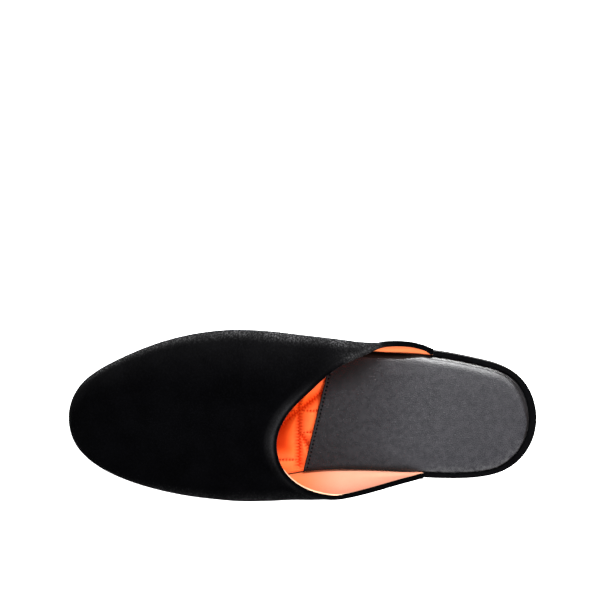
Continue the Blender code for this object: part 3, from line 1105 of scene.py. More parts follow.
class Wardrobe:
    """All finishes of the shoe as materials."""

    def __init__(self) -> None:
        """Builds the materials once."""
        effects = Effects()
        self.velvet = Velvet().material(effects)
        self.satin = Satin().material(effects)
        # one lining leather in two coloured copies for the light on each wall: paler for the more lit medial
        # wall, more saturated for the lateral wall; their border colour is painted shade toward the vamp
        self.lining = Leather(
            "orange_lining",
            colour=(0.64, 0.268, 0.176),
            second=(0.62, 0.246, 0.155),
            wear_and_sheen=(0.62, 0.32, 0.20),
            border=(0.62, 0.128, 0.043),
        ).material(effects)
        self.amber = Leather(
            "amber_lining",
            colour=(0.90, 0.215, 0.078),
            second=(0.88, 0.195, 0.066),
            wear_and_sheen=(0.92, 0.35, 0.16),
            border=(0.62, 0.128, 0.043),
        ).material(effects)
        self.edge = Leather(
            "cream_edge",
            colour=(0.56, 0.34, 0.22),
            second=(0.54, 0.30, 0.18),
            wear_and_sheen=(0.60, 0.40, 0.28),
            border=(0.56, 0.33, 0.21),
            roughness=0.55,
            pebble=1500.0,
        ).material(effects)
        self.sock = Leather(
            "sock_leather",
            colour=(0.011, 0.011, 0.0128),
            second=(0.021, 0.0203, 0.0230),
            # painted sheen colour of the sock's medial rim
            wear_and_sheen=(0.12, 0.12, 0.12),
            border=(0.0038, 0.0029, 0.0028),
            border_polish=0.12,
            roughness=0.25,
            pebble=1000.0,
            depth=0.038,
            specular=0.39,
            mottle=330.0,
            crease_gloss=0.06,
        ).material(effects)
        # near-black matt leather: the sock's painted shadow band along the lateral lining, the dark joint
        # along the footbed's edge, and the footbed hidden under the sock
        self.sock_edge = Leather(
            "sock_edge",
            colour=(0.009, 0.0062, 0.0055),
            second=(0.014, 0.0095, 0.0082),
            wear_and_sheen=(0.01, 0.01, 0.01),
            roughness=0.85,
            pebble=1000.0,
            specular=0.06,
        ).material(effects)
        self.sole = Leather(
            "sole_leather",
            colour=(0.010, 0.0095, 0.0095),
            second=(0.016, 0.015, 0.014),
            wear_and_sheen=(0.05, 0.045, 0.042),
            pebble=700.0,
            depth=0.06,
        ).material(effects)
        self.heel = Leather(
            "heel_leather",
            colour=(0.011, 0.010, 0.0095),
            second=(0.018, 0.016, 0.015),
            wear_and_sheen=(0.05, 0.045, 0.042),
            roughness=0.38,
            pebble=800.0,
            depth=0.05,
        ).material(effects)
        self.black_thread = Thread("black_thread", (0.001, 0.001, 0.001)).material(effects)
        self.orange_thread = Thread("orange_thread", (0.36, 0.016, 0.001)).material(effects)


class SewnLine(NamedTuple):
    """A line to sew along, in the frame of the solids: its points, and which way the cloth faces there."""

    points: Array
    ups: Array


class StitchTree:
    """The Geometry Nodes tree that lays stitches along the edges of a line mesh."""

    SIZES = ("Pitch", "Length", "Width", "Height")

    def __init__(self) -> None:
        """Builds the tree."""
        self.tree = bpy.data.node_groups.new("Stitches", "GeometryNodeTree")
        face = self.tree.interface
        face.new_socket("Geometry", in_out="INPUT", socket_type="NodeSocketGeometry")
        for name in self.SIZES:
            face.new_socket(name, in_out="INPUT", socket_type="NodeSocketFloat")
        face.new_socket("Seed", in_out="INPUT", socket_type="NodeSocketInt")
        face.new_socket("Thread", in_out="INPUT", socket_type="NodeSocketMaterial")
        face.new_socket("Geometry", in_out="OUTPUT", socket_type="NodeSocketGeometry")
        self.wire(NodeSheet(self.tree))

    def wire(self, sheet: NodeSheet) -> None:
        """Adds the nodes: points at an even pitch, one small capsule on each, laid along the line."""
        start = sheet.put("NodeGroupInput").outputs
        curve = sheet.put("GeometryNodeMeshToCurve", {"Mesh": start["Geometry"]}).outputs[0]
        points = sheet.put(
            "GeometryNodeCurveToPoints", {"Curve": curve, "Length": start["Pitch"]}, mode="LENGTH"
        ).outputs
        up = sheet.put("GeometryNodeInputNamedAttribute", {"Name": "up"}, data_type="FLOAT_VECTOR")
        facing = sheet.put(
            "FunctionNodeAlignRotationToVector", {"Vector": up.outputs["Attribute"]}, axis="Z"
        )
        laid = sheet.put(
            "FunctionNodeAlignRotationToVector",
            {"Rotation": facing.outputs[0], "Vector": points["Tangent"]},
            axis="X",
            pivot_axis="Z",
        )
        ball = sheet.put("GeometryNodeMeshUVSphere", {"Segments": 6, "Rings": 5, "Radius": 0.5})
        sizes = {"X": start["Length"], "Y": start["Width"], "Z": start["Height"]}
        size = sheet.put("ShaderNodeCombineXYZ", sizes).outputs[0]
        shaped = sheet.put("GeometryNodeTransform", {"Geometry": ball.outputs["Mesh"], "Scale": size})
        uneven = sheet.put(
            "FunctionNodeRandomValue",
            {"Min_001": 0.9, "Max_001": 1.08, "Seed": start["Seed"]},
            data_type="FLOAT",
        )
        placed = sheet.put(
            "GeometryNodeInstanceOnPoints",
            {
                "Points": points["Points"],
                "Instance": shaped.outputs[0],
                "Rotation": laid.outputs[0],
                "Scale": sheet.socket(uneven.outputs, "Value_001"),
            },
        )
        real = sheet.put("GeometryNodeRealizeInstances", {"Geometry": placed.outputs[0]})
        soft = sheet.put("GeometryNodeSetShadeSmooth", {"Geometry": real.outputs[0]})
        dressed = sheet.put(
            "GeometryNodeSetMaterial", {"Geometry": soft.outputs[0], "Material": start["Thread"]}
        )
        sheet.put("NodeGroupOutput", {"Geometry": dressed.outputs[0]})


@dataclass
class Stitches:
    """Rows of stitches as one piece."""

    name: str
    thread: Material
    pitch: float = 2.4
    length: float = 1.8
    width: float = 0.55
    height: float = 0.45
    seed: int = 7

    def carrier(self, lines: Sequence[SewnLine]) -> Piece:
        """The lines as a mesh of edges that knows which way the cloth faces."""
        points = np.vstack([line.points for line in lines])
        ups = np.vstack([line.ups for line in lines])
        edges, first = [], 0
        for line in lines:
            edges += [(first + k, first + k + 1) for k in range(len(line.points) - 1)]
            first += len(line.points)
        mesh = bpy.data.meshes.new(self.name)
        mesh.from_pydata(points.tolist(), edges, [])
        layer = mesh.attributes.new("up", "FLOAT_VECTOR", "POINT")
        layer.data.foreach_set("vector", np.ascontiguousarray(ups, np.float32).ravel())
        return into_scene(self.name, mesh)

    def make(self, tree: StitchTree, lines: Sequence[SewnLine]) -> Piece:
        """Sews the lines.

        Args:
            tree: The tree that lays the stitches.
            lines: Where to sew.

        Returns:
            The stitches as a plain mesh.
        """
        piece = self.carrier(lines)
        modifier = piece.modifiers.new("stitches", "NODES")
        modifier.node_group = tree.tree
        values = {name: getattr(self, name.lower()) * MM for name in tree.SIZES}
        values |= {"Seed": self.seed, "Thread": self.thread}
        for socket in tree.tree.interface.items_tree:
            if socket.in_out == "INPUT" and socket.name in values:
                modifier[socket.identifier] = values[socket.name]
        shown = piece.evaluated_get(bpy.context.evaluated_depsgraph_get())
        sewn = bpy.data.meshes.new_from_object(shown)
        piece.modifiers.remove(modifier)
        piece.data = sewn
        return piece


class Surface:
    """A finished piece that lines can be laid on."""

    FACING = 0.5  # a line is not laid where the piece turns further away than this cosine

    def __init__(self, piece: Piece, last: Last) -> None:
        """Takes the piece and the form whose measures the lines are in."""
        mesh = piece.data
        self.last = last
        self.tree = BVHTree.FromPolygons(
            [vertex.co.copy() for vertex in mesh.vertices], [face.vertices[:] for face in mesh.polygons]
        )

    def lay(self, flat: Array, height: float, down: bool, lift: float) -> list[SewnLine]:
        """Lays a line on the piece.

        Args:
            flat: Points as rows of along and across.
            height: Height from which they are dropped.
            down: Whether they drop down onto the piece, or rise up to it.
            lift: How far they end off the piece.

        Returns:
            The parts of the line that met the piece.
        """
        way = Vector((0.0, 0.0, -1.0 if down else 1.0))
        raised = np.column_stack([flat, np.full(len(flat), height)])
        found, run = [], []
        for start in self.last.to_frame(raised):
            place, normal, _, _ = self.tree.ray_cast(Vector(start), way)
            if place is not None and normal.dot(way) > 0.0:
                normal = -normal
            if place is None or -normal.dot(way) < self.FACING:
                found.append(run)
                run = []
                continue
            run.append((np.array(place + normal * lift * MM), np.array(normal)))
        found.append(run)
        return [SewnLine(*(np.array(column) for column in zip(*part))) for part in found if len(part) > 2]


def show(piece: Piece, slot: Slot | None = None, *nodes: str) -> Piece:
    """Puts a finished piece on the shoe's body.

    Args:
        piece: The piece.
        slot: The record's material slot that its finish stands for; not used.
        *nodes: The solids that it stands for.

    Returns:
        The piece.
    """
    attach(piece, BODY)
    if nodes:
        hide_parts(*nodes)
    return piece


@dataclass
class UpperGrid:
    """The outer face of the upper as a grid: rows round its edge, columns from the sole to the collar."""

    last: Last
    steps: int
    columns: int
    roll_columns: int
    roll_width: float = 4.0
    roll_share: float = 0.4
    stop: float = 0.0
    stop_share: float = 0.3
    upright_share: float = 0.12
    crowd: float = 1.2
    settle: float = 10.0
    lean_settle: float = 5.5
    end_height: float = 0.72
    end_lean: dict[Side, float] = field(default_factory=lambda: {Side.LATERAL: 0.66, Side.MEDIAL: 0.5})

    def __post_init__(self) -> None:
        """Lays the grid out."""
        face, below = [], []
        for path in self.last.upper_paths(self.steps):
            whole = lengths(path)[-1]
            roll = min(self.roll_width, self.roll_share * whole)
            stop = min(self.stop, self.stop_share * roll)
            wall = (whole - roll) * np.linspace(0.0, 1.0, self.columns) ** self.crowd
            rim = np.linspace(whole - roll, whole - stop, self.roll_columns + 1)[1:]
            places = np.concatenate([wall, rim])
            face.append(at_length(path, places))
            below.append(whole - places)
        self.face, self.below = np.array(face), np.array(below)
        self.settle_ends()
        normals = unit(np.cross(np.gradient(self.face, axis=0), np.gradient(self.face, axis=1)))
        level = unit(normals[:, 0] * np.array([1.0, 1.0, 0.0]))
        up = self.above() / np.maximum(self.below[:, :1], 1e-6)
        share = ease(up / self.upright_share)[:, :, None]
        self.normals = unit(level[:, None] * (1.0 - share) + normals * share)

    def settle_ends(self) -> None:
        """Brings both ends of the face in and down, so that they run into the rand."""
        feet = self.face[:, :1].copy()
        away = self.from_ends()
        share = ease(away / self.settle)[:, None]
        lean = np.where(self.lateral(), self.end_lean[Side.LATERAL], self.end_lean[Side.MEDIAL])[:, None]
        offset = self.face - feet
        offset[:, :, :2] *= (lean + (1.0 - lean) * ease(away / self.lean_settle)[:, None])[:, :, None]
        offset[:, :, 2] *= self.end_height + (1.0 - self.end_height) * share
        self.face = feet + offset

    def lateral(self) -> Array:
        """Which rows belong to the lateral half of the face."""
        return np.arange(len(self.face)) < len(self.face) // 2

    def from_ends(self) -> Array:
        """How far along each row lies from its own end of the face."""
        feet = self.face[:, 0, 0]
        return feet - np.where(self.lateral(), feet[0], feet[-1])

    def above(self) -> Array:
        """How far up the face each point lies from the sole."""
        return self.below[:, :1] - self.below

    def row_near(self, side: Side, along: float) -> int:
        """Number of the row on one side whose foot lies nearest to a place along the shoe."""
        feet = self.face[:, 0, 0]
        toe = int(np.argmax(feet))
        first, half = (0, feet[:toe]) if side is Side.LATERAL else (toe, feet[toe:])
        return first + int(np.argmin(np.abs(half - along)))

    def surface(self, depth: Array | float) -> Array:
        """The face moved in by a depth, with its lower edge kept on the sole."""
        depth = np.broadcast_to(depth, self.below.shape)
        points = self.face - depth[:, :, None] * self.normals
        points[:, 0, 2] = self.last.sole_top(points[:, 0, 0]) + self.last.gap
        return points

    def rise(self) -> Array:
        """Direction up the face at the collar, one a row."""
        return unit(self.face[:, -1] - self.face[:, -2])


@dataclass(frozen=True)
class Pile:
    """Where painted sheen lightens the velvet's pile, as marks over the grid of the upper."""

    # painted sheen: strength and place of the lighter band and of the glints
    halo_place: float = 2.0
    halo_width: float = 3.4
    halo_least: float = 0.10
    halo_front: Ramp = Ramp(132.0, 24.0)
    halo_medial: Ramp = Ramp(14.0, 14.0)
    halo_loss: float = 0.75
    toe_lean: float = 0.35
    glow_lean: Ramp = Ramp(0.25, 0.6)
    flank_glow: float = 0.17
    flank: float = 0.85
    flank_lean: Ramp = Ramp(0.66, 0.32)
    flank_power: float = 1.8
    upright: Ramp = Ramp(-0.02, 0.18)
    upright_least: float = 0.15
    stretch_back: Ramp = Ramp(92.0, 25.0)
    stretch_front: Ramp = Ramp(276.0, -60.0)
    stretch_least: float = 0.55
    medial: float = 0.1
    medial_lean: Ramp = Ramp(0.6, 0.4)
    dip_marks: tuple[tuple[float, float], ...] = ((0.30, 2.4), (0.10, 7.0))
    rim_fade: float = 0.4

    def glow(self, grid: UpperGrid) -> Array:
        """Painted sheen: a soft lighter band beside the turned edge, most of all round the throat, and a
        faint one on the lateral flank.
        """
        collar = grid.face[:, -1]
        front = self.halo_front.up(collar[:, 0]) * (1.0 - self.halo_loss * self.halo_medial.up(collar[:, 1]))
        strength = (self.halo_least + (1.0 - self.halo_least) * front)[:, None]
        beside = ease(grid.below / self.halo_place) * bell(grid.below, self.halo_width)
        flank = self.flank_glow * self.glow_lean.up(self.slant(grid))
        return np.clip(strength * beside + flank, 0.0, 1.0)

    def slant(self, grid: UpperGrid) -> Array:
        """How far the face leans to the lateral side, with a part of its lean to the toe."""
        return self.toe_lean * np.maximum(grid.normals[:, :, 0], 0.0) - grid.normals[:, :, 1]

    def brushing_and_glints(self, grid: UpperGrid) -> Array:
        """Painted glints on the pile: strongest on the lateral flank, faint on the medial flank, and at the
        dip of the collar.
        """
        along = grid.face[:, :, 0]
        flank = self.flank * self.flank_lean.up(self.slant(grid)) ** self.flank_power
        low = self.upright_least + (1.0 - self.upright_least) * self.upright.up(grid.normals[:, :, 2])
        stretch = self.stretch_back.up(along) * self.stretch_front.up(along)
        stretch = self.stretch_least + (1.0 - self.stretch_least) * stretch
        medial = self.medial * self.medial_lean.up(grid.normals[:, :, 1])
        return np.clip(flank * low * stretch + self.dip(grid) + medial, 0.0, 1.0)

    def dip(self, grid: UpperGrid) -> Array:
        """Painted sheen where the collar dips at the lateral side."""
        beside = off_lines(grid.face[:, :, :2].reshape(-1, 2), np.array([DIP]))[0].reshape(grid.below.shape)
        return sum(mark * bell(beside, width) for mark, width in self.dip_marks)

    def over_rim(self, grid: UpperGrid, points: int) -> Array:
        """The painted sheen of the dip carried on over the turned edge, which has this many points."""
        return self.dip(grid)[:, -1:] * np.linspace(1.0, self.rim_fade, points)


@dataclass
class Upper:
    """The velvet upper and its lining."""

    last: Last
    wardrobe: Wardrobe
    quilt: Quilt
    tree: StitchTree
    pile: Pile = Pile()
    steps: int = 300
    columns: int = 54
    roll_columns: int = 10
    roll: float = 0.5
    bulge: tuple[tuple[float, ...], ...] = ((0.0, 0.2, 0.55, 1.0), (0.6, 1.0, 0.8, 0.0))
    calm_collar: float = 6.0
    calm_sole: float = 10.0
    rim_points: int = 11
    rim_height: float = 1.05
    core: float = 1.5
    rim_depth: float = 3.0
    throat: Ramp = Ramp(100.0, 45.0)
    throat_rim_depth: float = 2.0
    end_rim: float = 1.0
    end_reach: float = 4.0
    turn_in: float = 1.6
    lining_steps: int = 420
    lining_columns: int = 104
    lining_roll_columns: int = 8
    lining_back: float = 1.65
    lining_front: float = 2.5
    lining_stop: float = 0.9
    # painted shade: the side linings deepen in colour toward the vamp
    lining_deep: Ramp = Ramp(116.0, 32.0)
    side_inset: float = 0.12
    edge_points: int = 4
    edge_height: float = 0.35
    bead: float = 0.60
    bead_width: float = 0.55
    bead_medial: Ramp = Ramp(19.0, 14.0)
    bead_front: Ramp = Ramp(108.0, 22.0)
    peek: float = 1.6
    foot_turn: float = 0.8
    foot_height: Ramp = Ramp(3.5, 5.0)
    foot_back: Ramp = Ramp(-5.0, 8.0)
    foot_front: Ramp = Ramp(92.0, 24.0)
    seam_along: dict[Side, float] = field(default_factory=lambda: {Side.LATERAL: 150.0, Side.MEDIAL: 174.0})
    seam_lap: float = 5.0
    vamp_inset: float = 0.15
    vamp_level: float = 0.25
    vamp_swell: float = 0.8
    vamp_steep: Ramp = Ramp(0.25, 0.35)
    vamp_collar: Ramp = Ramp(2.5, 5.0)
    vamp_ends: Ramp = Ramp(6.0, 14.0)
    seam_depth: float = 0.55
    sewn: SewnSpan = SewnSpan(1.5, 168.0, 262.0)
    sewn_from: float = 16.0
    sewn_lift: float = 0.05

    def build(self) -> list[Piece]:
        """Builds the velvet and the lining."""
        return [self.velvet(), *self.linings()]

    def creases(self, face: Array) -> Array:
        """How deep the soft troughs lie at each point of the velvet."""
        flat = face[:, :, :2].reshape(-1, 2)
        total = np.zeros(len(flat))
        for crease in CREASES:
            distance = off_lines(flat, np.array([crease[:4]]))[0]
            total += crease.depth * bell(distance, crease.width)
        return total.reshape(face.shape[:2])

    def velvet(self) -> Piece:
        """The velvet with its turned edge."""
        grid = UpperGrid(self.last, self.steps, self.columns, self.roll_columns)
        bulge = smooth_curve(*self.bulge)
        roll = self.roll * np.clip(bulge(np.clip(grid.below / grid.roll_width, 0.0, 1.0)), 0.0, 1.0)
        calm = ease(grid.below / self.calm_collar) * ease(grid.above() / self.calm_sole)
        outer = grid.surface(self.creases(grid.face) * calm - roll)
        throat = self.throat.up(grid.face[:, -1, 0])
        near_end = (1.0 - ease(grid.from_ends() / self.end_reach)) * grid.lateral()
        rim_depth = self.rim_depth + (self.throat_rim_depth - self.rim_depth) * throat
        rim_depth = (rim_depth + self.end_rim * near_end)[:, None]
        inner = grid.surface(self.core + (rim_depth - self.core) * (1.0 - ease(grid.below / self.turn_in)))
        rim = half_round(outer[:, -1], inner[:, -1], self.rim_height * grid.rise(), self.rim_points)
        rings = np.concatenate([outer, rim, inner[:, ::-1]], axis=1)
        # painted sheen marks: a lighter band beside the edge, and glints on lit pile tips
        marks = {name: np.zeros(rings.shape[:2]) for name in ("rim", "painted_glints")}
        columns = outer.shape[1]
        marks["rim"][:, :columns] = self.pile.glow(grid)
        marks["painted_glints"][:, :columns] = self.pile.brushing_and_glints(grid)
        marks["painted_glints"][:, columns : columns + self.rim_points] = self.pile.over_rim(grid, self.rim_points)
        piece = RingMesh("upper_velvet", rings, [self.wardrobe.velvet], marks=marks).make(self.last)
        return show(piece, Slot.VELVET, "upper")

    def lining_rings(self, grid: UpperGrid, rows: slice, front: Array) -> tuple[Array, Array]:
        """Rings of a lining between its hidden back and its seen front.

        Args:
            grid: The grid that the lining follows.
            rows: Its rows of the grid.
            front: Depth of its front over the whole grid.

        Returns:
            The rings, and for each ring point whether the cut edge shows there (1) or not (0).
        """
        back = grid.surface(self.lining_back)[rows]
        face = grid.surface(front)[rows]
        reach = (self.edge_height + self.peek * self.bead_share(grid)[rows]) * grid.rise()[rows]
        edge = half_round(back[:, -1], face[:, -1], reach, self.edge_points)
        rings = np.concatenate([back, edge, face[:, ::-1]], axis=1)
        kinds = np.zeros(rings.shape[1], int)
        columns = back.shape[1]
        kinds[columns - 1 : columns + self.edge_points + 2] = 1
        return rings, kinds

    def linings(self) -> list[Piece]:
        """The leather at both sides and the quilted satin under the vamp, with their stitches."""
        sizes = self.lining_steps, self.lining_columns, self.lining_roll_columns
        grid = UpperGrid(self.last, *sizes, stop=self.lining_stop)
        seams = {side: grid.row_near(side, along) for side, along in self.seam_along.items()}
        laps = {side: grid.row_near(side, along - self.seam_lap) for side, along in self.seam_along.items()}
        beside_edge = bell(grid.below - self.lining_stop, self.bead_width)
        bead = self.bead * self.bead_share(grid) * beside_edge
        front = self.lining_front + self.side_inset + bead + self.turned_foot(grid)
        return [
            self.side_lining(Side.LATERAL, grid, slice(0, seams[Side.LATERAL] + 1), front),
            self.side_lining(Side.MEDIAL, grid, slice(seams[Side.MEDIAL], None), front),
            *self.vamp_lining(grid, slice(laps[Side.LATERAL], laps[Side.MEDIAL] + 1), bead),
        ]

    def side_lining(self, side: Side, grid: UpperGrid, rows: slice, front: Array) -> Piece:
        """The leather lining of one side, with painted shade that deepens its colour toward the vamp."""
        rings, kinds = self.lining_rings(grid, rows, front)
        finishes = {
            Side.LATERAL: [self.wardrobe.amber, self.wardrobe.amber],
            Side.MEDIAL: [self.wardrobe.lining, self.wardrobe.edge],
        }[side]
        # painted shade toward the vamp
        marks = {"border": self.lining_deep.up(rings[:, :, 0])}
        return show(RingMesh(f"side_lining_{side.column}", rings, finishes, kinds, marks).make(self.last))

    def turned_foot(self, grid: UpperGrid) -> Array:
        """How far the side lining curves in at its foot, behind the throat."""
        rear = self.foot_back.up(grid.from_ends()) * self.foot_front.down(grid.face[:, 0, 0])
        return self.foot_turn * self.foot_height.down(grid.above()) * rear[:, None]

    def bead_share(self, grid: UpperGrid) -> Array:
        """How far the lining's pale edge stands out: round the medial side of the throat alone."""
        collar = grid.face[:, -1]
        return (self.bead_medial.up(collar[:, 1]) * self.bead_front.up(collar[:, 0]))[:, None]

    def vamp_lining(self, grid: UpperGrid, rows: slice, bead: Array) -> list[Piece]:
        """The quilted satin under the vamp, and its stitches."""
        inner = grid.surface(self.lining_front)
        relief = np.zeros(grid.below.shape)
        relief[rows] = self.quilt.relief(inner[rows, :, 0], inner[rows, :, 1])
        count = rows.stop - rows.start
        from_end = np.minimum(np.arange(count), np.arange(count)[::-1])
        fade = self.vamp_steep.up(grid.normals[:, :, 2]) * self.vamp_collar.up(grid.below)
        fade[rows] *= self.vamp_ends.up(from_end)[:, None]
        padding = (relief - self.vamp_level * self.quilt.rise) * fade * self.vamp_swell
        rings, kinds = self.lining_rings(grid, rows, self.lining_front - self.vamp_inset + padding + bead)
        # painted shade: the satin deepens toward its deep colour in the quilting's valleys
        seam = np.clip(1.0 - relief / (self.seam_depth * self.quilt.rise), 0.0, 1.0) * fade
        marks = np.zeros(rings.shape[:2])
        marks[:, -grid.below.shape[1] :] = seam[rows][:, ::-1]
        finishes = [self.wardrobe.satin, self.wardrobe.edge]
        piece = RingMesh("vamp_lining", rings, finishes, kinds, marks={"seam": marks}).make(self.last)
        show(piece, Slot.SATIN)
        surface = Surface(piece, self.last)
        lines = []
        for flat in self.quilt.seam_points(self.sewn):
            lines += surface.lay(flat, self.sewn_from, False, self.sewn_lift)
        sizes = self.quilt.pitch, self.quilt.stitch_length, self.quilt.stitch_width
        row = Stitches("vamp_lining_stitches", self.wardrobe.orange_thread, *sizes, seed=11)
        return [piece, show(row.make(self.tree, lines), Slot.SATIN)]


@dataclass
class HeelRand:
    """The low velvet rim round the heel seat."""

    last: Last
    wardrobe: Wardrobe
    rise: float = 5.0
    shoulder: float = 3.3
    crown: float = 0.9
    end_gap: float = 0.08
    steps: int = 90
    arc_points: int = 15
    wall_points: int = 4
    # painted sheen along the top of the rand
    glow: float = 0.06
    glow_width: float = 1.2

    def build(self) -> list[Piece]:
        """Builds the rim."""
        last = self.last
        ends = [last.turn(COLLAR[k].along - self.end_gap, SOLE_LENGTH) for k in (0, -1)]
        turns = [np.linspace(ends[0], 0.0, self.steps + 1), np.linspace(0.0, ends[1], self.steps + 1)]
        arc = np.linspace(0.0, np.pi, self.arc_points)
        over = 0.5 * (1.0 - np.cos(arc))
        depths = np.concatenate([np.zeros(self.wall_points), over, np.ones(self.wall_points)])
        wall = np.linspace(0.0, self.shoulder, self.wall_points + 1)[:-1]
        top = self.shoulder + (self.rise - self.shoulder) * np.sin(arc) ** self.crown
        rises = np.concatenate([wall, top, wall[::-1]])
        strands = []
        for depth, height in zip(depths, rises):
            lateral, medial = (
                last.sole_side(turn, side, last.feather_inset + depth * last.rand_width(turn, side))
                for turn, side in zip(turns, Side)
            )
            flat = np.vstack([lateral, medial[1:]])
            strands.append(np.column_stack([flat, last.sole_top(flat[:, 0]) + last.gap + height]))
        rings = np.stack(strands, axis=1)
        # painted sheen: a lighter line along the top of the rand
        glow = self.glow * bell(rises - self.rise, self.glow_width)
        marks = {"rim": np.broadcast_to(glow, rings.shape[:2])}
        piece = RingMesh("heel_rand_velvet", rings, [self.wardrobe.velvet], marks=marks).make(last)
        return [show(piece, Slot.VELVET, "heel_rand")]


@dataclass
class Footbed:
    """The padded satin footbed over the insole board."""

    last: Last
    wardrobe: Wardrobe
    quilt: Quilt
    tree: StitchTree
    rear_rows: int = 26
    fine_from: float = 112.0
    fine_to: float = 176.0
    fine_step: float = 0.45
    front_to: float = 284.0
    front_step: float = 0.95
    toe_turn: float = 3.0
    toe_rows: int = 8
    across_steps: int = 208
    under_steps: int = 8
    sink: float = 0.65
    press: float = 0.5
    press_reach: float = 3.0
    edge_drop: float = 0.9
    edge_width: float = 1.6
    quilt_side: float = 5.0
    quilt_back: Ramp = Ramp(112.0, 6.0)
    quilt_front: Ramp = Ramp(282.0, -6.0)
    seam_depth: float = 0.72
    # painted shadow of the vamp and painted light on the satin, as marks
    shade: float = 0.9
    shade_out: Ramp = Ramp(4.0, 7.0)
    shade_lateral: Ramp = Ramp(-14.0, 15.0)
    shade_medial: Ramp = Ramp(17.0, 10.0)
    light_out: Ramp = Ramp(5.0, 10.0)
    light_middle: float = 4.0
    light_side: Ramp = Ramp(14.0, 8.0)
    joint: float = 0.45
    sock_lap: float = 2.0
    collar_points: int = 80
    sewn: SewnSpan = SewnSpan(1.2, 126.0, 276.0)
    sewn_inset: float = 4.0
    sewn_from: float = 30.0
    sewn_lift: float = 0.04

    def angles(self) -> Array:
        """Turn angles of the rows: close together where the quilting shows."""
        rear = np.linspace(0.0, self.fine_from, self.rear_rows)[1:-1]
        fine = np.arange(self.fine_from, self.fine_to, self.fine_step)
        front = np.arange(self.fine_to, self.front_to, self.front_step)
        turns = self.last.turn(np.concatenate([rear, fine, front]), SOLE_LENGTH)
        return np.sort(np.concatenate([[0.0], turns, np.linspace(self.toe_turn, np.pi, self.toe_rows)]))

    def build(self) -> list[Piece]:
        """Builds the footbed and its stitches."""
        last = self.last
        angles = self.angles()
        low, high = (last.lining_side(angles, side) for side in Side)
        shares = np.linspace(0.0, 1.0, self.across_steps + 1)[None, :, None]
        flat = low[:, None] * (1.0 - shares) + high[:, None] * shares
        along, across = flat[:, :, 0], flat[:, :, 1]
        relief = self.quilt.relief(along, across)
        width = np.maximum(high[:, 1] - low[:, 1], 1e-3)[:, None]
        inside = width * np.minimum(shares[:, :, 0], 1.0 - shares[:, :, 0])
        fade = ease(inside / self.quilt_side) * self.quilt_back.up(along) * self.quilt_front.up(along)
        pressed = self.press * bell(np.maximum(last.past_sock(flat), 0.0), self.press_reach)
        edge = self.edge_drop * (1.0 - ease(inside / self.edge_width))
        upper = np.dstack([flat, last.insole_top(along) - edge + (relief - self.sink - pressed) * fade])
        coarse = flat[:, :: self.across_steps // self.under_steps]
        under = np.dstack([coarse, last.sole_top(coarse[:, :, 0]) + last.gap])
        rings = np.concatenate([upper, under[:, ::-1]], axis=1)
        # painted shade in the quilting's valleys; the vamp's painted shadow joins it in the seam mark, and
        # painted light goes in the pale mark
        seam = np.clip(1.0 - relief / (self.seam_depth * self.quilt.rise), 0.0, 1.0) * fade
        beyond = self.beyond_collar(flat)
        marks = {name: np.zeros(rings.shape[:2]) for name in ("seam", "pale")}
        marks["seam"][:, : upper.shape[1]] = np.maximum(seam, self.vamp_shadow(across, beyond))
        marks["pale"][:, : upper.shape[1]] = self.in_light(across, beyond)
        dark = rings[:-1, :, 0] < last.sock_edge(rings[:-1, :, 1]) - self.sock_lap
        dark[:, : upper.shape[1]] |= inside[:-1] < self.joint
        finishes = [self.wardrobe.satin, self.wardrobe.sock_edge]
        piece = RingMesh("footbed", rings, finishes, dark.astype(int), marks).make(last)
        show(piece, Slot.SATIN, "insole")
        return [piece, self.stitches(piece)]

    def beyond_collar(self, flat: Array) -> Array:
        """How far places lie out of the throat's edge seen from above, under 0 where the vamp covers them."""
        rows = self.last.collar_line(self.collar_points)
        collar = np.array([self.last.collar_point(*row)[0][:2] for row in rows])
        distance, _, hand = off_lines(flat.reshape(-1, 2), np.column_stack([collar[:-1], collar[1:]]))
        return np.where(hand > 0.0, distance, -distance).reshape(flat.shape[:2])

    def in_light(self, across: Array, beyond: Array) -> Array:
        """Painted light on the satin: paler far from the vamp's edge and at both ends of the strip that
        shows.
        """
        return np.maximum(self.light_out.up(beyond), self.light_side.up(np.abs(across - self.light_middle)))

    def vamp_shadow(self, across: Array, beyond: Array) -> Array:
        """Painted shadow of the vamp on the satin: full under the vamp, fading where light comes in at the
        throat.
        """
        middle = self.shade_lateral.up(across) * self.shade_medial.down(across)
        return self.shade * self.shade_out.down(beyond) * middle

    def stitches(self, piece: Piece) -> Piece:
        """The quilting stitches in front of the sock."""
        surface = Surface(piece, self.last)
        lines = []
        for flat in self.quilt.seam_points(self.sewn):
            angles = self.last.turn(flat[:, 0], SOLE_LENGTH)
            low, high = (self.last.lining_side(angles, side, self.sewn_inset)[:, 1] for side in Side)
            keep = (flat[:, 1] > -np.abs(low)) & (flat[:, 1] < np.abs(high))
            if keep.sum() > 2:
                lines += surface.lay(flat[keep], self.sewn_from, True, self.sewn_lift)
        sizes = self.quilt.pitch, self.quilt.stitch_length, self.quilt.stitch_width
        row = Stitches("footbed_stitches", self.wardrobe.orange_thread, *sizes)
        return show(row.make(self.tree, lines), Slot.SATIN)


class SockPlaces(NamedTuple):
    """Places on the sock, and how far they lie from its sides and behind its front edge."""

    along: Array
    across: Array
    edge: Array
    behind: Array


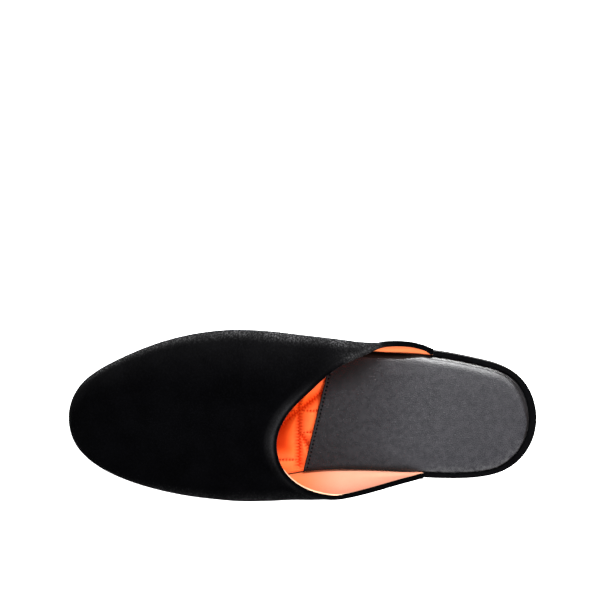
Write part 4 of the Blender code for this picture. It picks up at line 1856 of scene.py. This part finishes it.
@dataclass(frozen=True)
class SockShade:
    """Where shade, sheen and a shadow band are painted on the sock's leather, as marks over its upper face.
    """

    # painted shade: beside the lining, beside the rand, toward the front and under the vamp
    waist: Ramp = Ramp(68.0, 12.0)
    lining_side: Ramp = Ramp(0.3, 4.6)
    corner_along: Ramp = Ramp(30.0, -18.0)
    corner_across: Ramp = Ramp(4.0, -12.0)
    corner_width: float = 2.2
    corner_loss: float = 0.3
    lip_end: float = 12.0
    lip_least: float = 0.35
    rand_side: Ramp = Ramp(0.35, 0.9)
    front_width: float = 0.8
    front_shade: float = 0.5
    front_shade_back: Ramp = Ramp(2.0, 62.0)
    vamp: float = 0.4
    vamp_along: Ramp = Ramp(88.0, 24.0)
    vamp_across: Ramp = Ramp(-12.0, -20.0)
    most: float = 0.85
    # painted sheen along the medial rim of the heel seat
    rub: float = 0.22
    sheen_across: Ramp = Ramp(8.0, 12.0)
    sheen_along: Ramp = Ramp(64.0, 10.0)
    sheen_side: Ramp = Ramp(0.6, 6.0)
    # painted shadow band along the lateral lining, where shade falls under the wall
    paint_from: float = 63.0
    paint_start: float = 64.0
    paint_least: float = 0.6
    paint_grow: float = 0.145
    paint_most: float = 3.5

    def dark(self, at: SockPlaces) -> Array:
        """Painted shade, where the leather is also smoother: beside the lining and the rand, toward the
        front, under the vamp's shadow, and in a dark line along the front edge.
        """
        beside_lining = self.waist.up(at.along) * self.lining_side.down(at.edge)
        corner = self.corner_along.up(at.along) * self.corner_across.up(at.across)
        lip = np.where(at.across < self.lip_end, 1.0 + self.corner_width * corner, self.lip_least)
        beside_rand = (1.0 - self.corner_loss * corner) * self.rand_side.down(at.edge / lip)
        front_shade = self.front_shade * self.front_shade_back.down(at.behind)
        vamp_shadow = self.vamp * self.vamp_along.up(at.along) * self.vamp_across.up(at.across)
        inner = np.minimum(front_shade + vamp_shadow, self.most)
        return np.maximum.reduce([beside_lining, beside_rand, bell(at.behind, self.front_width), inner])

    def wear_and_sheen(self, at: SockPlaces) -> Array:
        """Painted sheen: the leather lighter along the medial rim of the heel seat."""
        seat = self.sheen_across.up(at.across) * self.sheen_along.down(at.along)
        return self.rub * seat * self.sheen_side.down(at.edge)

    def painted(self, at: SockPlaces) -> Array:
        """Whether places lie in the painted shadow along the lateral lining: a matt near-black band that
        narrows to its end.
        """
        width = self.paint_least + self.paint_grow * (at.along - self.paint_start)
        lined = (at.across < 0.0) & (at.along > self.paint_from)
        return at.edge < np.where(lined, np.clip(width, 0.0, self.paint_most), 0.0)


@dataclass
class Sock:
    """The padded leather sock over the heel and waist of the footbed."""

    last: Last
    wardrobe: Wardrobe
    tree: StitchTree
    shade: SockShade = SockShade()
    inset: float = 0.2
    rows: int = 150
    tries: int = 6
    front_crowd: float = 0.6
    front_power: int = 6
    front_shares: tuple[float, ...] = (0.99, 0.994, 0.997)
    across_steps: int = 128
    side_crowd: float = 0.55
    round_over: float = 6.2
    drop: float = 1.10
    fall: float = 2.4
    level: float = 0.75
    level_along: Ramp = Ramp(72.0, 14.0)
    front_drop: float = 0.5
    front_round: float = 0.9
    groove_place: float = 1.0
    groove_depth: float = 0.09
    groove_width: float = 0.32
    groove_front: Ramp = Ramp(3.0, 3.0)
    swell: float = 0.18
    swell_reach: float = 14.0
    stitch_back: float = 2.0
    stitch_margin: float = 2.4
    stitch_step: float = 0.8
    stitch_from: float = 40.0
    stitch_lift: float = 0.06
    dent: float = 0.12
    dent_width: float = 0.5
    dent_side: float = 1.5

    def rail(self, side: Side) -> Array:
        """One side of the sock, from the heel to its slanted front edge."""
        last = self.last
        front = last.sock_front
        for _ in range(self.tries):
            corner = last.lining_side(last.turn(front, SOLE_LENGTH), side, self.inset)[0]
            front += last.sock_edge(corner[1]) - self.inset - corner[0]
        shares = np.linspace(0.0, 1.0, self.rows + 1)
        shares = shares + self.front_crowd * (np.sin(np.pi * shares) / np.pi) * shares**self.front_power
        shares = np.unique(np.clip(np.concatenate([shares, self.front_shares]), 0.0, 1.0))
        return last.lining_side(last.turn(front, SOLE_LENGTH) * shares, side, self.inset)

    @staticmethod
    def from_sides(flat: Array, lateral: Array, medial: Array) -> Array:
        """Distance of places from the two sides of the sock."""
        lines = np.vstack([np.column_stack([rail[:-1], rail[1:]]) for rail in (lateral, medial[::-1])])
        return off_lines(flat.reshape(-1, 2), lines)[0].reshape(flat.shape[:2])

    def heights(self, at: SockPlaces) -> Array:
        """Heights of the padded upper face, rounded over at its edges and drawn in along its stitches."""
        level = self.level * self.level_along.up(at.along) * (at.across > 0.0)
        slope = (1.0 - np.clip(at.edge / self.round_over, 0.0, 1.0)) ** self.fall
        front = (1.0 - np.clip(at.behind / self.front_round, 0.0, 1.0)) ** 2
        sunk = np.maximum((1.0 - level) * self.drop * slope, self.front_drop * front)
        groove = self.groove_depth * bell(at.edge - self.groove_place, self.groove_width)
        dent = self.dent * bell(at.behind - self.stitch_back, self.dent_width)
        drawn_in = groove * self.groove_front.up(at.behind) + dent * ease(at.edge / self.dent_side)
        swell = self.swell * ease(at.edge / self.swell_reach)
        return self.last.sock_top(at.along) - sunk - drawn_in + swell

    def build(self) -> list[Piece]:
        """Builds the sock and its row of stitches."""
        lateral, medial = (self.rail(side) for side in Side)
        even = np.linspace(0.0, 1.0, self.across_steps + 1)
        crowded = 0.5 - 0.5 * np.cos(np.pi * even)
        shares = (self.side_crowd * crowded + (1.0 - self.side_crowd) * even)[None, :, None]
        flat = lateral[:, None] * (1.0 - shares) + medial[:, None] * shares
        edge = self.from_sides(flat, lateral, medial)
        at = SockPlaces(flat[:, :, 0], flat[:, :, 1], edge, -self.last.past_sock(flat))
        upper = np.dstack([flat, self.heights(at)])
        under = np.dstack([flat, self.last.insole_top(flat[:, :, 0]) + self.last.gap])
        rings = np.concatenate([upper, under[:, ::-1]], axis=1)
        # marks of painted shade (border) and of painted sheen along the medial rim (edge)
        marks = {"border": np.ones(rings.shape[:2]), "edge": np.zeros(rings.shape[:2])}
        marks["border"][:, : upper.shape[1]] = self.shade.dark(at)
        marks["edge"][:, : upper.shape[1]] = self.shade.wear_and_sheen(at)
        # faces in the painted shadow band take the near-black second finish
        painted = np.ones((len(rings) - 1, rings.shape[1]), int)
        painted[:, : upper.shape[1]] = self.shade.painted(at)[:-1]
        finishes = [self.wardrobe.sock, self.wardrobe.sock_edge]
        piece = RingMesh("sock_leather", rings, finishes, painted, marks).make(self.last)
        show(piece, Slot.SOCK, "sock")
        return [piece, self.stitches(piece, lateral[-1], medial[-1])]

    def stitches(self, piece: Piece, start: Array, end: Array) -> Piece:
        """The row of stitches behind the sock's front edge."""
        ends = np.array([start, end]) - np.array([self.stitch_back, 0.0])
        places = np.arange(self.stitch_margin, lengths(ends)[-1] - self.stitch_margin, self.stitch_step)
        flat = at_length(ends, places)
        lines = Surface(piece, self.last).lay(flat, self.stitch_from, True, self.stitch_lift)
        row = Stitches("sock_stitches", self.wardrobe.black_thread, length=1.5, width=1.3, height=0.5)
        return show(row.make(self.tree, lines), Slot.SOCK)


class Layer(NamedTuple):
    """A level of a sole or heel: its inset from the outline, and its rise over a face."""

    inset: float
    face: Curve
    rise: float = 0.0

    def points(self, flat: Array) -> Array:
        """Places of the outline with their heights on this level."""
        return np.column_stack([flat, self.face(flat[:, 0]) + self.rise])


@dataclass
class Sole:
    """The leather sole and the low heel."""

    last: Last
    wardrobe: Wardrobe
    angle_steps: int = 180
    across_steps: int = 16
    breast: float = 70.0
    heel_steps: int = 60
    heel_inset: float = 1.0
    heel_taper: float = 1.6
    lift: float = 3.4
    face_inset: float = 3.0
    edge_wear: float = 0.5
    sharp_deg: float = 50.0

    def build(self) -> list[Piece]:
        """Builds the sole and the heel."""
        return [self.sole(), self.heel()]

    def strands(
        self, rails: Callable[[float], Sequence[Array]], rim: Sequence[Layer], flip: bool
    ) -> tuple[Array, Array]:
        """Half of each ring: in from one side over the rim, across the face and out to the other side.

        Args:
            rails: Gives the lateral and medial side at an inset.
            rim: Layers from the side to the face.
            flip: Whether the half runs from the medial to the lateral side.

        Returns:
            The points, and how near each lies to the rim (1 at the rim and 0 on the face).
        """
        sides = [rails(layer.inset) for layer in rim]
        first, second = (1, 0) if flip else (0, 1)
        points = [layer.points(pair[first]) for pair, layer in zip(sides, rim)]
        shares = np.linspace(0.0, 1.0, self.across_steps + 1)[1:-1]
        for share in shares:
            points.append(rim[-1].points(sides[-1][first] * (1.0 - share) + sides[-1][second] * share))
        points += [layer.points(pair[second]) for pair, layer in zip(sides[::-1], rim[::-1])]
        near = np.concatenate([np.ones(len(rim)), np.zeros(len(shares)), np.ones(len(rim))])
        return np.stack(points, axis=1), near

    def closed(
        self,
        name: str,
        rails: Callable[[float], Sequence[Array]],
        top: Sequence[Layer],
        low: Sequence[Layer],
        finish: Material,
    ) -> Piece:
        """A closed piece with a rim above and below.

        Args:
            name: Name of the piece.
            rails: Gives the lateral and medial side at an inset.
            top: Layers from the side up to the upper face.
            low: Layers from the side down to the lower face.
            finish: Its material.

        Returns:
            The piece.
        """
        over, near_over = self.strands(rails, top, False)
        under, near_under = self.strands(rails, low, True)
        rings = np.concatenate([over, under], axis=1)
        wear = self.edge_wear * np.concatenate([near_over, near_under])
        marks = {"edge": np.broadcast_to(wear, rings.shape[:2])}
        return RingMesh(name, rings, [finish], marks=marks, sharp_deg=self.sharp_deg).make(self.last)

    def sole(self) -> Piece:
        """The thin sole with rounded edges."""
        last = self.last
        angles = np.linspace(0.0, np.pi, self.angle_steps + 1)

        def rails(inset: float) -> list[Array]:
            """Both sides of the sole."""
            return [last.sole_side(angles, side, inset) for side in Side]

        top = (
            Layer(0.0, last.sole_bottom, 2.4),
            Layer(0.0, last.sole_top, -0.8),
            Layer(0.12, last.sole_top, -0.35),
            Layer(0.4, last.sole_top, -0.08),
            Layer(0.8, last.sole_top),
        )
        low = (
            Layer(0.0, last.sole_bottom, 2.2),
            Layer(0.0, last.sole_bottom, 1.0),
            Layer(0.25, last.sole_bottom, 0.4),
            Layer(0.7, last.sole_bottom, 0.1),
            Layer(1.3, last.sole_bottom),
        )
        return show(self.closed("sole", rails, top, low, self.wardrobe.sole), Slot.SOLE, "outsole")

    def heel(self) -> Piece:
        """The low heel, with the line of its bottom lift."""
        last = self.last
        angles = np.linspace(0.0, last.turn(self.breast, SOLE_LENGTH), self.heel_steps + 1)

        def rails(inset: float) -> list[Array]:
            """Both sides of the heel, up to its straight front face."""
            sides = [last.sole_side(angles, side, inset) for side in Side]
            for points in sides:
                points[-1, 0] = self.breast
            return sides

        def side_at(height: float, cut: float = 0.0) -> Layer:
            """A level of the tapered side."""
            inset = self.heel_inset + self.heel_taper * (1.0 - height / last.heel_height) + cut
            return Layer(inset, np.zeros_like, height)

        top = (
            side_at(self.lift),
            side_at(self.lift + 0.25),
            side_at(7.5),
            side_at(10.5),
            Layer(self.heel_inset, last.sole_bottom, -last.gap),
            Layer(self.heel_inset + self.face_inset, last.sole_bottom, -last.gap),
        )
        low = (
            side_at(self.lift - 0.12, 0.3),
            side_at(self.lift - 0.3, 0.02),
            side_at(0.8),
            side_at(0.25, 0.25),
            side_at(0.0, 0.75),
            side_at(0.0, self.face_inset),
        )
        return show(self.closed("heel_block", rails, top, low, self.wardrobe.heel), Slot.HEEL, "heel")


class Lamp(NamedTuple):
    """A soft area light."""

    name: str
    place: tuple[float, float, float]
    aim: tuple[float, float, float]
    size: tuple[float, float]
    power: float
    mirrored: bool = True


@dataclass
class Studio:
    """Floor, light and camera."""

    lens: float = 85.0
    sensor: float = 36.0
    floor_half: float = 5.0
    floor_cells: int = 8
    floor_drop: float = 0.0003
    camera_place: tuple[float, float, float] = (0.0014, -0.07055, 0.890)
    sky: float = 0.22
    lamps: tuple[Lamp, ...] = (
        Lamp("key", (-0.16, -0.76, 1.42), (-0.05, 0.0, 0.02), (0.7, 0.40), 50.0),
        Lamp("rear", (-1.05, -0.30, 1.30), (0.0, 0.0, 0.02), (0.6, 0.9), 38.0, False),
        Lamp("fill", (-0.05, 1.05, 1.00), (0.0, 0.0, 0.02), (1.0, 0.5), 34.0, False),
    )

    def build(self) -> None:
        """Sets the studio up."""
        self.floor()
        for lamp in self.lamps:
            self.light(lamp)
        self.surroundings()
        self.camera()

    def floor(self) -> None:
        """The plain pale floor."""
        mesh = bpy.data.meshes.new("floor")
        soup = bmesh.new()
        cells = self.floor_cells
        bmesh.ops.create_grid(soup, x_segments=cells, y_segments=cells, size=self.floor_half)
        bmesh.ops.translate(soup, verts=soup.verts, vec=(0.0, 0.0, -self.floor_drop))
        soup.to_mesh(mesh)
        soup.free()
        mesh.materials.append(PaleFloor().material())
        floor = into_scene("floor", mesh)
        floor.visible_diffuse = False
        floor.visible_glossy = False

    def light(self, lamp: Lamp) -> None:
        """Hangs one lamp."""
        data = bpy.data.lights.new(lamp.name, "AREA")
        data.shape = "RECTANGLE"
        data.size, data.size_y = lamp.size
        data.energy = lamp.power
        light = into_scene(lamp.name, data)
        light.location = lamp.place
        light.rotation_euler = (Vector(lamp.aim) - Vector(lamp.place)).to_track_quat("-Z", "Y").to_euler()
        light.visible_camera = False
        light.visible_glossy = lamp.mirrored

    def surroundings(self) -> None:
        """The even white of the room."""
        world = bpy.data.worlds.new("studio")
        world.use_nodes = True
        shade = world.node_tree.nodes["Background"]
        shade.inputs["Color"].default_value = (1.0, 1.0, 1.0, 1.0)
        shade.inputs["Strength"].default_value = self.sky
        bpy.context.scene.world = world
        bpy.context.scene.view_settings.view_transform = "Standard"

    def camera(self) -> None:
        """The camera, straight over the shoe."""
        data = bpy.data.cameras.new("camera")
        data.lens = self.lens
        data.sensor_width = self.sensor
        camera = into_scene("camera", data)
        camera.location = self.camera_place
        camera.rotation_euler = (0.0, 0.0, math.pi)
        bpy.context.scene.camera = camera


def main() -> None:
    """Builds the shoe round its solids, and the studio."""
    logging.basicConfig(level=logging.INFO, format="%(name)s: %(message)s")
    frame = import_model()
    LOG.info("solids: %s", ", ".join(sorted(frame["nodes"])))
    last, wardrobe, quilt, tree = Last(), Wardrobe(), Quilt(), StitchTree()
    makers = (
        Upper(last, wardrobe, quilt, tree),
        HeelRand(last, wardrobe),
        Footbed(last, wardrobe, quilt, tree),
        Sock(last, wardrobe, tree),
        Sole(last, wardrobe),
    )
    for maker in makers:
        for piece in maker.build():
            LOG.info("%s: %d faces", piece.name, len(piece.data.polygons))
    Studio().build()


if __name__ == "__main__":
    main()
